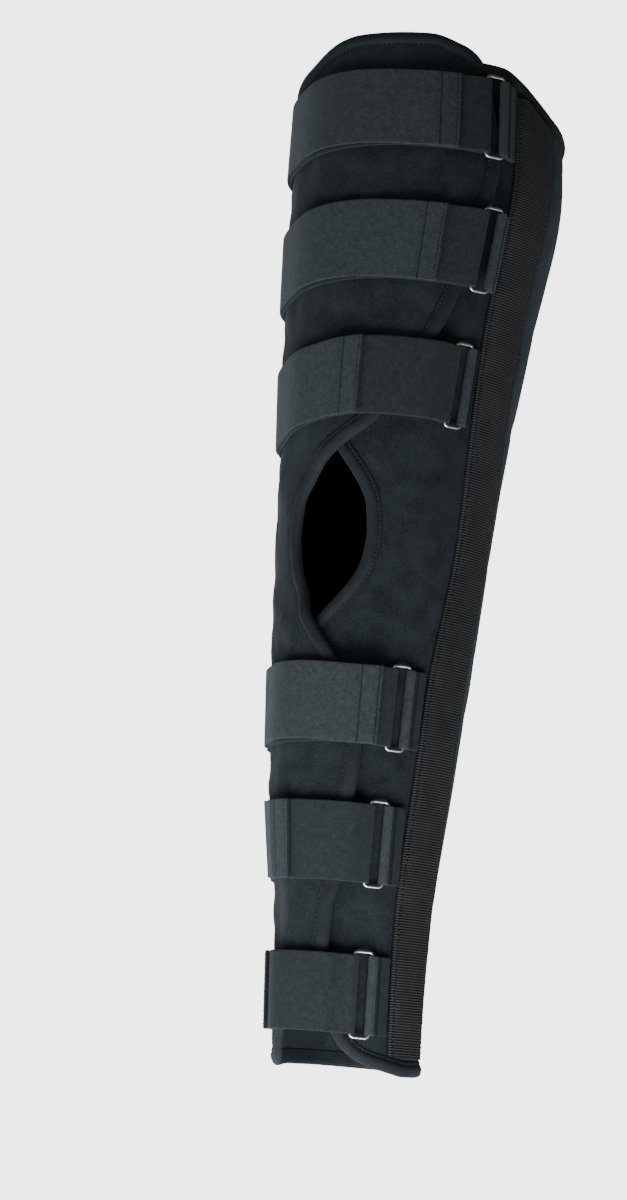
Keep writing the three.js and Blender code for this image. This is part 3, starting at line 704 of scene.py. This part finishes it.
medial = {
    "rim": medialRim, "lift": liftAt, "roundStart": False, "roundEnd": True, "columns": 34, "outCap": 1.3,
    "start": lambda level: shift(level, leg["medialSeam"], cloth["seamGap"] / 2), "end": medialFront,
}
lateral = {
    "rim": lateralRim, "lift": flat, "roundStart": True, "roundEnd": False, "columns": 24, "outCap": 1.5,
    "start": lateralFront, "end": lambda level: shift(level, lateralSeam(level), -cloth["seamGap"] / 2),
}
back = {
    "rim": backRim, "lift": flat, "roundStart": False, "roundEnd": False, "columns": 44, "outCap": 0.5,
    "start": lambda level: shift(level, lateralSeam(level), cloth["seamGap"] / 2),
    "end": lambda level: shift(level, 360 + leg["medialSeam"], -cloth["seamGap"] / 2),
}

# what holds a panel's cloth: how far past it the hold goes and then fades; a strap holds up to pastRing degrees on
hold = {"edge": (1, 10), "strap": (1, 6), "wing": (2, 8), "pocket": (1, 6), "pastRing": 20}


def holdBy(what, distance):
    past, fade = hold[what]
    return 1 - ease((distance - past) / fade)


# how firmly a point of a panel is held: at its bound edges and seams, under the straps and under the other wing
def gripAt(panel, angle, level):
    radius = radiusAt(angle, level)
    rim = panel["rim"]
    inside = min(
        rim["top"](angle) - level, level - rim["bottom"](angle),
        math.radians(angle - panel["start"](level)) * radius, math.radians(panel["end"](level) - angle) * radius,
    )
    grip = holdBy("edge", inside - cloth["tapeWidth"])
    grip = max(grip, holdBy("strap", besideStraps(angle, level, hold["pastRing"])))
    if panel is lateral:
        grip = max(grip, holdBy("wing", angle - medialFront(level)))
    if panel is not medial:
        beside = abs(angle - pocketMiddle(level)) * math.radians(1) * radius - pocket["width"] / 2
        grip = max(grip, holdBy("pocket", beside))
    return grip


clothSettings = {
    "quality": 6, "mass": 0.3, "tension_stiffness": 25, "compression_stiffness": 25, "shear_stiffness": 12,
    "bending_stiffness": 2.5, "pin_stiffness": 1,
}


# lets the free cloth between the straps settle: a short simulation with a little slack, then a cap on the moves
def settleCloth(obj, grips, outCap):
    mesh = obj.data
    rest = [vert.co.copy() for vert in mesh.vertices]
    normals = [vert.normal.copy() for vert in mesh.vertices]
    pins = obj.vertex_groups.new(name="held")
    for index, grip in enumerate(grips):
        pins.add([index], grip, "REPLACE")
    modifier = obj.modifiers.new("settle", "CLOTH")
    settings = modifier.settings
    for label, value in clothSettings.items():
        setattr(settings, label, value)
    settings.vertex_group_mass = "held"
    settings.shrink_min = -panels["slack"]
    settings.use_pressure = True
    settings.uniform_pressure_force = panels["pressure"]
    settings.effector_weights.gravity = 0
    modifier.collision_settings.use_self_collision = False
    modifier.point_cache.frame_start = 1
    modifier.point_cache.frame_end = panels["frames"]
    for number in range(1, panels["frames"] + 1):
        scene.frame_set(number)
    settled = obj.evaluated_get(bpy.context.evaluated_depsgraph_get()).to_mesh()
    moved = [vert.co.copy() for vert in settled.vertices]
    obj.modifiers.remove(modifier)
    most = 0.0
    for index, vert in enumerate(mesh.vertices):
        push = (moved[index] - rest[index]).dot(normals[index]) / mm
        push = min(max(push, -panels["inCap"]), outCap) * (1 - grips[index])
        most = max(most, abs(push))
        vert.co = rest[index] + normals[index] * push * mm
    obj.vertex_groups.clear()
    scene.frame_set(1)
    print(obj.name, "settled, most move in mm", round(most, 2))


# shares of a grid's cells, with a narrow cell at each end that keeps the edge from shrinking when it is smoothed
def edgedShares(count):
    narrow = panels["edgeCell"] / count
    return [0, narrow, *(k / count for k in range(1, count)), 1 - narrow, 1]


def makePanel(name, panel, node):
    acrossShares = edgedShares(panel["columns"])
    upShares = edgedShares(panels["rows"])
    places = [[panelPoint(panel, s, t) for s in acrossShares] for t in upShares]

    def place(i, j):
        angle, level = places[j][i]
        point = onForm(angle, level, cloth["panel"] + panel["lift"](angle, level))
        return point, (math.radians(angle) * panels["mapRadius"], level)

    obj = clothFrom(name, len(acrossShares) - 1, len(upShares) - 1, place)
    settleCloth(obj, [gripAt(panel, *spot) for row in places for spot in row], panel["outCap"])
    thicken(obj, cloth["panel"], -1, 1)
    dress(obj, materials["panel"], "panel_cloth", node)


makePanel("medialWingCloth", medial, "medial_wing")
makePanel("lateralWingCloth", lateral, "lateral_wing")
makePanel("backPanelCloth", back, "back_panel")
print("panels done")

# sewing: one small thread dash after another
thread = {"halfWidth": 0.34, "halfHeight": 0.26, "pitch": 3.0, "share": 0.68, "overrun": 1.15}


def makeStitches(name, lines, slot):
    bm = bmesh.new()
    for line in lines:
        for start, end, normal in line:
            along = end - start
            length = along.length
            along.normalize()
            side = normal.cross(along).normalized()
            turn = Matrix((along, side, normal)).transposed().to_4x4()
            size = Matrix.Diagonal((length / 2 * mm, thread["halfWidth"] * mm, thread["halfHeight"] * mm, 1))
            place = Matrix.Translation((start + end) / 2 * mm)
            bmesh.ops.create_icosphere(bm, subdivisions=1, radius=1, matrix=place @ turn @ size)
    for face in bm.faces:
        face.smooth = True
    dress(finishMesh(name, bm), materials["thread"], slot)


# dashes along points that are given with their normals
def dashes(points, pitch=thread["pitch"]):
    marks = []
    carried = 0.0
    for (p, n), (q, _) in zip(points, points[1:]):
        span = (q - p).length
        while carried < span:
            start = p.lerp(q, carried / span)
            end = p.lerp(q, min((carried + pitch * thread["share"]) / span, thread["overrun"]))
            marks.append((start, end, n))
            carried += pitch
        carried -= span
    return marks


# a point just over a surface with the way out of it, from a function of height
def sewnSpot(at, height):
    point = at(height)
    return point, (point - at(height - 1)).normalized()


# edge tape: folded over an edge, fuller between the edge and its stitches where no strap presses it
# inward distance, height over the panel when full, height when pressed; then the turn round the edge in degrees
tapeSection = [
    (8.0, 0.05, 0.05), (7.2, 0.5, 0.3), (6.6, 0.35, 0.25), (6.0, 0.05, 0.12), (5.3, 0.75, 0.35), (4.2, 1.4, 0.5),
    (2.8, 1.7, 0.55), (1.3, 1.45, 0.52), ("turn", 62, 0), ("turn", 30, 0), ("turn", 0, 0), ("turn", -33, 0),
    ("turn", -66, 0), (1.2, -0.4, -0.4), (3.2, -0.4, -0.4), (5.6, -0.32, -0.32), (8.0, -0.25, -0.25),
]
# the turn's clearance and bead, where its map starts and how wide that is, the ripple, and the reach of the straps
tapeShape = {
    "clearance": 0.15, "bead": 0.75, "turnLimit": 66, "turnMap": 5, "backMap": 14, "stitchInset": 6.05,
    "ripple": (0.12, 0.2, 0.3), "pastRing": 34, "pressPast": 2, "pressFade": 9,
}


def fullnessAt(angle, level):
    beside = besideStraps(angle, level, tapeShape["pastRing"])
    return ease((beside - tapeShape["pressPast"]) / tapeShape["pressFade"])


# each point of a line with its unit way to the left, in the unrolled cloth
def edgeFrames(line):
    frames = []
    for k, (angle, level) in enumerate(line):
        angleBefore, levelBefore = line[max(k - 1, 0)]
        angleAfter, levelAfter = line[min(k + 1, len(line) - 1)]
        turned = math.radians(angleAfter - angleBefore) * radiusAt(angle, level)
        along = Vector((turned, levelAfter - levelBefore)).normalized()
        frames.append((angle, level, Vector((-along.y, along.x))))
    return frames


def makeTape(name, line, lift, side, node):
    frames = edgeFrames(line)
    fullness = [fullnessAt(angle, level) for angle, level in line]
    lengths = [0.0]
    for (a0, l0), (a1, l1) in zip(line, line[1:]):
        lengths.append(lengths[-1] + math.hypot(math.radians(a1 - a0) * radiusAt(a0, l0), l1 - l0))

    def at(k, inward, height):
        angle, level, normal = frames[k]
        inner = normal * side * inward
        turned = angle + math.degrees(inner.x / radiusAt(angle, level))
        raised = level + inner.y
        return onForm(turned, raised, height + lift(turned, raised))

    def place(i, j):
        inward, height, pressed = tapeSection[j]
        full = fullness[i]
        if inward == "turn":
            bend = math.radians(height)
            radius = cloth["panel"] / 2 + cloth["seamGap"] + tapeShape["clearance"]
            bead = tapeShape["bead"] * full * max(math.sin(bend), 0)
            inward, out = -radius * math.cos(bend), cloth["panel"] / 2 + radius * math.sin(bend) + bead
            limit = tapeShape["turnLimit"]
            width = cloth["tapeWidth"] + (limit - height) / (2 * limit) * tapeShape["turnMap"]
        elif height > 0:
            out = cloth["panel"] + mix(pressed, height, full)
            width = cloth["tapeWidth"] - inward
        else:
            out = height
            width = tapeShape["backMap"] + inward
        if height > 0:
            out += uneven(tapeShape["ripple"], lengths[i], j)
        return at(i, inward, out), (lengths[i], width)

    obj = clothFrom(name, len(line) - 1, len(tapeSection) - 1, place)
    thicken(obj, cloth["tape"], 0, 1)
    dress(obj, materials["tape"], "edge_tape", node)
    seam = []
    for k in range(len(line)):
        point = at(k, tapeShape["stitchInset"], cloth["panel"] + cloth["tape"])
        under = at(k, tapeShape["stitchInset"], cloth["panel"])
        seam.append((point, (point - under).normalized()))
    makeStitches(name + "Stitches", [dashes(seam)], "edge_tape")


# steps along each stretch of the tapes, how far a stretch starts past a corner, and the angle that a rim is read at
tapeSteps = {
    "medial": 60, "back": 70, "lateral": 40, "front": 170, "corner": 9, "passes": 8,
    "pastCorner": 1.0, "cornerMargin": 0.4, "frontAngle": 10,
}


# the rounded corner of a wing: finer points where the rim turns down into the free edge
def cornerLine(panel, which, atEnd):
    points = []
    edge = panel["end"] if atEnd else panel["start"]
    for k in range(1, tapeSteps["corner"] + 1):
        turn = math.radians(90 * k / tapeSteps["corner"])
        distance = cloth["cornerRadius"] * (1 - math.sin(turn))
        cut = cloth["cornerRadius"] * (1 - math.cos(turn))
        level = panelPoint(panel, 1 if atEnd else 0, 1 if which == "top" else 0)[1]
        for _ in range(tapeSteps["passes"]):
            angle = shift(level, edge(level), -distance if atEnd else distance)
            level = panel["rim"][which](angle) + (cut if which == "bottom" else -cut)
        points.append((angle, level))
    return points


def plainRim(panel, which, start, end, steps):
    angles = [mix(start, end, k / steps) for k in range(steps + 1)]
    return [(angle, panel["rim"][which](angle)) for angle in angles]


# once round a rim: from the medial wing's corner over the back to the lateral wing's corner
def wholeRim(which):
    seam = lateralSeam(medialRim[which](tapeSteps["frontAngle"]))
    medialCorner = cornerLine(medial, which, True)
    lateralCorner = cornerLine(lateral, which, False)
    first = medialCorner[0][0] - tapeSteps["pastCorner"]
    last = lateralCorner[0][0] + tapeSteps["pastCorner"]
    front = plainRim(medial, which, first, leg["medialSeam"], tapeSteps["medial"])
    behind = plainRim(back, which, 360 + leg["medialSeam"], seam, tapeSteps["back"])
    side = plainRim(lateral, which, seam, last, tapeSteps["lateral"])
    later = behind[1:] + side[1:] + lateralCorner
    return medialCorner[::-1] + front[1:] + [(angle - 360, level) for angle, level in later]


def rimLift(angle, level):
    return liftAt(angle, level) if angle > leg["medialSeam"] - 1 else 0.0


def frontLine(panel, atEnd, edge):
    low = cornerLine(panel, "bottom", atEnd)[-1][1] + tapeSteps["cornerMargin"]
    high = cornerLine(panel, "top", atEnd)[-1][1] - tapeSteps["cornerMargin"]
    levels = [mix(low, high, k / tapeSteps["front"]) for k in range(tapeSteps["front"] + 1)]
    return [(edge(level), level) for level in levels]


makeTape("topEdgeTape", wholeRim("top"), rimLift, 1, "top_edge_tape")
makeTape("bottomEdgeTape", wholeRim("bottom"), rimLift, -1, "bottom_edge_tape")
makeTape("medialEdgeTape", frontLine(medial, True, medialFront), liftAt, 1, "medial_edge_tape")
makeTape("lateralEdgeTape", frontLine(lateral, False, lateralFront), flat, -1, "lateral_edge_tape")
print("edge tapes done")

# the flat pocket that holds a stay: its crown falls to the edges, a sewn dent runs along each, and its woven ribs
# are real relief that fades out above ribLevel
pocketShape = {
    "rows": 1600, "columns": 14, "passes": 3, "ribPitch": 1.7, "ribDepth": 0.3, "ribLevel": 66, "ribLean": 0.25,
    "ribFade": 12, "ribLeast": 0.12, "ribEdge": 4, "edgeShare": 0.55, "crownEdge": 5, "dent": 0.5, "seamInset": 3.4,
    "dentWidth": 1.1, "skin": 1.1, "seamSink": 0.35, "seamPitch": 3.2, "seamSteps": 219, "seamEnd": 0.006,
}


def makePocket():
    shape = pocketShape
    inset = cloth["tapeWidth"] + pocket["endGap"]

    def spot(offset, share):
        level = mix(-leg["shinReach"], leg["thighReach"] - leg["rimDip"], share)
        for _ in range(shape["passes"]):
            angle = shift(level, pocketMiddle(level), offset)
            level = mix(backRim["bottom"](angle) + inset, backRim["top"](angle) - inset, share)
        return angle, level

    def place(i, j):
        offset = (i / shape["columns"] - 0.5) * pocket["width"]
        angle, level = spot(offset, j / shape["rows"])
        beside = pocket["width"] / 2 - abs(offset)
        crown = mix(shape["edgeShare"], 1, ease(beside / shape["crownEdge"]))
        dent = shape["dent"] * math.exp(-((beside - shape["seamInset"]) / shape["dentWidth"]) ** 2)
        faded = ease((level - shape["ribLevel"] + shape["ribLean"] * offset) / shape["ribFade"])
        ribs = mix(1.0, shape["ribLeast"], faded) * ease(beside / shape["ribEdge"])
        rib = shape["ribDepth"] / 2 * ribs * math.sin(2 * math.pi * level / shape["ribPitch"])
        out = pocket["thickness"] * crown - dent + rib
        return onForm(angle, level, cloth["panel"] + pocket["gap"] + out), (offset, level)

    obj = clothFrom("stayPocketWebbing", shape["columns"], shape["rows"], place)
    thicken(obj, shape["skin"], -1, 0)
    dress(obj, materials["pocket"], "stay_webbing", "lateral_stay_pocket")
    height = cloth["panel"] + pocket["gap"] + pocket["thickness"] - shape["seamSink"]
    lines = []
    for side in (-1, 1):
        line = []
        for k in range(shape["seamSteps"] + 1):
            share = mix(shape["seamEnd"], 1 - shape["seamEnd"], k / shape["seamSteps"])
            angle, level = spot(side * (pocket["width"] / 2 - shape["seamInset"]), share)
            line.append(sewnSpot(lambda out: onForm(angle, level, out), height))
        lines.append(dashes(line, shape["seamPitch"]))
    makeStitches("stayPocketStitches", lines, "stay_webbing")


makePocket()
print("stay pocket done")

# facets that are tried each way, the least one that is kept, and the slack in finding the seat's ends, in degrees
lattice = {"facets": 60, "least": 0.6, "slack": 0.01, "sidesTried": [k / 4 for k in range(-4, 5)]}


# where a strap lies: flat steps between lattice lines, and one flat seat for its ring
def bandOf(level, ringAngle, droop):
    half = band["width"] / 2
    facet = band["facet"]
    slack = lattice["slack"]
    reach = math.degrees(ring["barSpacing"] / 2 / radiusAt(ringAngle, level))
    left, right = ringAngle - reach, ringAngle + reach
    seatLeft, seatRight = left - ring["seatMargin"], right + ring["seatMargin"]
    known = {}
    rises = {}

    def heightAt(angle, side):
        return level + side * half - droopAt(droop, angle)

    # how far out a straight line across the band has to lie to clear everything under it
    def standing(angle):
        key = round(angle, 3)
        if key not in known:
            low = radiusAt(angle, heightAt(angle, -1))
            high = radiusAt(angle, heightAt(angle, 1))
            known[key] = max(
                stackAt(angle, heightAt(angle, side))
                + max(radiusAt(angle, heightAt(angle, side)) - mix(low, high, (side + 1) / 2), 0)
                for side in lattice["sidesTried"]
            )
        return known[key]

    sag = radiusAt(ringAngle, level) * (1 - math.cos(math.radians((seatRight - seatLeft) / 2)))
    seat = sag + max(standing(mix(seatLeft, seatRight, k / 4)) for k in range(5))

    def rise(angle):
        key = round(angle, 3)
        if key not in rises:
            rises[key] = max(standing(angle + part * facet) for part in lattice["sidesTried"])
        return rises[key]

    def exact(angle, side, out, shiftUp):
        seated = seatLeft - slack < angle < seatRight + slack
        lift = out + (seat if seated else rise(angle))
        ends = []
        for edge in (-1, 1):
            height = heightAt(angle, edge) + shiftUp
            parallel = radiusAt(ringAngle, level) / radiusAt(ringAngle, height)
            turned = angle if angle < seatLeft - slack else ringAngle + (angle - ringAngle) * parallel
            ends.append(onForm(turned, height, lift))
        return ends[0].lerp(ends[1], (side + 1) / 2)

    def place(angle, side, out, shiftUp=0.0):
        if seatLeft <= angle <= seatRight:
            low, high = seatLeft, seatRight
        else:
            anchor = seatLeft if angle < seatLeft else seatRight
            low = anchor + math.floor((angle - anchor) / facet + 1e-6) * facet
            high = low + facet
        t = (angle - low) / (high - low)
        return exact(low, side, out, shiftUp).lerp(exact(high, side, out, shiftUp), t)

    # the angles from start to end, with every lattice line between them
    def sweep(start, end):
        sign = 1 if end >= start else -1
        lines = set()
        for k in range(lattice["facets"]):
            lines |= {seatLeft - k * facet, seatRight + k * facet}
        inside = [x for x in lines if (x - start) * sign > lattice["least"] and (end - x) * sign > lattice["least"]]
        return [start, *sorted(inside, key=lambda x: x * sign), end]

    return {"place": place, "sweep": sweep, "left": left, "right": right}


# a path that comes to a bar, turns round it and goes back over itself; also the height of its upper layer
def hairpin(lie, bar, radius, start, end, thickness):
    sign = 1 if bar > start else -1
    turn = ring["wire"] + band["gap"] + thickness / 2
    under = band["gap"] + thickness / 2
    over = under + thickness + band["gap"]
    steps = 6

    def nearBar(angle):
        away = math.radians(abs(bar - angle)) * radius - ring["wire"]
        return ease(1 - away / band["settle"])

    def overAt(angle):
        return mix(over, wireHeight + turn, nearBar(angle))

    path = [(angle, mix(under, wireHeight - turn, nearBar(angle))) for angle in lie["sweep"](start, bar)]
    for k in range(1, steps + 1):
        a = math.pi * (k / steps - 0.5)
        path.append((bar + sign * math.degrees(turn * math.cos(a) / radius), wireHeight + turn * math.sin(a)))
    path += [(angle, overAt(angle)) for angle in lie["sweep"](bar, end)[1:]]
    return path, overAt


# each kind of band: its names, how unevenly it lies and its own part of the noise
bandKinds = {
    "strap": {"piece": "Strap", "node": "_strap", "slot": "strap_velour", "wobble": (0.25, 0.03, 1.2), "seed": 0},
    "tab": {"piece": "HookTab", "node": "_hook_tab", "slot": "tab_velour", "wobble": (0.35, 0.03, 1.2), "seed": 3},
    "loop": {"piece": "RingLoop", "node": "_ring_loop", "slot": "loop_webbing",
             "wobble": (0.2, 0.03, 1.2), "seed": 7},
}
bandRows = [-1, -0.95, -0.8, -0.45, 0, 0.45, 0.8, 0.95, 1]
bandEdge = (0.008, 0.05, 3)


# flat cloth over a path of (angle, out, up), a little uneven as worn cloth is; its map counts from one path point
def makeBand(kind, name, node, lie, path, seed, mapStart=0, mapSign=1):
    look = bandKinds[kind]
    noiseSeed = seed + look["seed"]
    spine = [lie["place"](angle, 0, out, raised) for angle, out, raised in path]
    lengths = [0.0]
    for p, q in zip(spine, spine[1:]):
        lengths.append(lengths[-1] + (q - p).length)

    def place(i, j):
        angle, out, raised = path[i]
        side = bandRows[j]
        u = lengths[i]
        wave = uneven(look["wobble"], u, side, noiseSeed)
        edge = uneven(bandEdge, u, side, noiseSeed + 5)
        point = lie["place"](angle, side * (1 + edge), out + abs(wave), raised)
        return point, ((u - lengths[mapStart]) * mapSign, side * band["width"] / 2)

    obj = clothFrom(name + look["piece"], len(path) - 1, len(bandRows) - 1, place)
    thicken(obj, band[kind], 0, 2)
    dress(obj, materials[kind], look["slot"], node + look["node"])


def makeRing(name, lie, node):
    height = band["width"] + 2 * (ring["play"] + ring["wire"])
    width = (lie["place"](lie["left"], 0, wireHeight) - lie["place"](lie["right"], 0, wireHeight)).length

    def at(x, y):
        return lie["place"](mix(lie["left"], lie["right"], x / width + 0.5), 2 * y / band["width"], wireHeight)

    right = (at(width / 2, 0) - at(-width / 2, 0)).normalized()
    normal = right.cross(at(0, height / 2) - at(0, -height / 2)).normalized()
    upward = normal.cross(right)
    spots = []
    for quarter, (toRight, toTop) in enumerate([(1, 1), (-1, 1), (-1, -1), (1, -1)]):
        for k in range(ring["cornerSteps"] + 1):
            a = (quarter + k / ring["cornerSteps"]) * math.pi / 2
            x = toRight * (width / 2 - ring["corner"]) + ring["corner"] * math.cos(a)
            y = toTop * (height / 2 - ring["corner"]) + ring["corner"] * math.sin(a)
            spots.append((at(x, y), right * math.cos(a) + upward * math.sin(a)))
    spots.append(spots[0])

    def place(i, j):
        centre, outward = spots[i]
        b = 2 * math.pi * j / ring["sides"]
        point = centre + (outward * math.cos(b) + normal * math.sin(b)) * ring["wire"]
        return point, (i, j)

    obj = clothFrom(name, len(spots) - 1, ring["sides"], place)
    bm = bmesh.new()
    bm.from_mesh(obj.data)
    bmesh.ops.remove_doubles(bm, verts=bm.verts, dist=1e-6)
    bmesh.ops.recalc_face_normals(bm, faces=bm.faces)
    bm.to_mesh(obj.data)
    bm.free()
    smooth = obj.modifiers.new("smooth", "SUBSURF")
    smooth.levels = smooth.render_levels = 1
    dress(obj, materials["wire"], "ring_wire", node)


# the tab's end: a raised cut edge and two sewn grooves, as inset from the seam and height
tabEndRelief = [
    (0.0, 0.9), (1.0, 0.85), (1.9, 0.15), (2.6, -0.3), (3.3, 0.15), (5.0, 0.2), (12.6, 0.15), (13.6, -0.3),
    (14.6, 0.15), (17.5, 0.0),
]
tabShape = {
    "step": (band["strap"] + band["tab"]) / 2 + band["gap"], "below": band["gap"] + band["strap"] / 2,
    "stitchInsets": (2.6, 13.6), "stitchLift": 0.2, "stitchPitch": 2.6, "stitchReach": 0.9, "stitchSteps": 24,
}


def tabPath(lie, radius, runEnd, seam, overAt):
    def tabAt(angle, relief):
        onRun = ease((angle - runEnd + band["facet"] + 1) / band["facet"])
        creep = band["width"] * band["creep"] * ease((runEnd - angle) / band["creepSpan"])
        return angle, mix(tabShape["below"], overAt(angle), onRun) + tabShape["step"] + relief, creep

    end = [(seam - math.degrees(inset / radius), relief) for inset, relief in tabEndRelief]
    rest = [(angle, 0.0) for angle in lie["sweep"](seam, band["tabEnd"]) if angle < end[-1][0] - 1]
    return [tabAt(angle, relief) for angle, relief in reversed(end + rest)]


def makeTabStitches(name, lie, radius, seam, overAt):
    rows = []
    for inset in tabShape["stitchInsets"]:
        angle = seam - math.degrees(inset / radius)
        out = overAt(angle) + tabShape["step"] + band["tab"] / 2 + tabShape["stitchLift"]
        row = []
        for k in range(tabShape["stitchSteps"] + 1):
            side = mix(-tabShape["stitchReach"], tabShape["stitchReach"], k / tabShape["stitchSteps"])
            row.append(sewnSpot(lambda height: lie["place"](angle, side, height), out))
        rows.append(dashes(row, tabShape["stitchPitch"]))
    makeStitches(name + "TabStitches", rows, "tab_velour")


# the ring loop's upper layer: a tight roll round the bar, then a second, lower fold
loopRelief = curve([
    (0, 0), (1.2, 0.3), (2.0, -0.2), (2.8, -2.4), (3.6, -2.4), (5.0, -1.2), (7.0, -1.0), (12, -0.6), (20, 0),
])
loopShape = {"steps": 14, "tailMargin": 1, "clearance": 0.1}


# from the tail under the bar, round it and back over itself to the tail, which ends beside the pocket
def loopPath(lie, radius, level):
    half = band["width"] / 2
    edges = []
    for height in (level - half, level, level + half):
        edges.append(shift(height, pocketMiddle(height), -pocket["width"] / 2 - band["gap"]))
    tail = min(edges) - loopShape["tailMargin"]
    bar = lie["right"]
    whole, overAt = hairpin(lie, bar, radius, tail, tail, band["loop"])
    path = [spot for spot in whole[:-1] if spot[0] < bar + lattice["slack"] or spot[1] < wireHeight]
    layer = band["gap"] * 2 + band["loop"] * 1.5 + loopShape["clearance"]
    length = math.radians(tail - bar) * radius
    for k in range(1, loopShape["steps"] + 1):
        away = length * k / loopShape["steps"]
        angle = bar + math.degrees(away / radius)
        path.append((angle, max(overAt(angle) + loopRelief(away), layer)))
    return [(angle, out, 0.0) for angle, out in path]


for name, node, level, ringAngle, seam, runOn, droop in straps:
    lie = bandOf(level, ringAngle, droop)
    radius = radiusAt(ringAngle, level) + wireHeight
    runEnd = seam - runOn
    seed = ringAngle + level * 0.01
    run, overAt = hairpin(lie, lie["left"], radius, band["start"], runEnd, band["strap"])
    makeBand("strap", name, node, lie, [(angle, out, 0.0) for angle, out in run], seed)
    tab = tabPath(lie, radius, runEnd, seam, overAt)
    makeBand("tab", name, node, lie, tab, seed, len(tab) - 1, -1)
    loop = loopPath(lie, radius, level)
    farthest = min(range(len(loop)), key=lambda k: loop[k][0])
    makeBand("loop", name, node, lie, loop, seed, farthest)
    makeRing(name + "Ring", lie, node + "_ring")
    makeTabStitches(name, lie, radius, seam, overAt)
    print(name, "done")
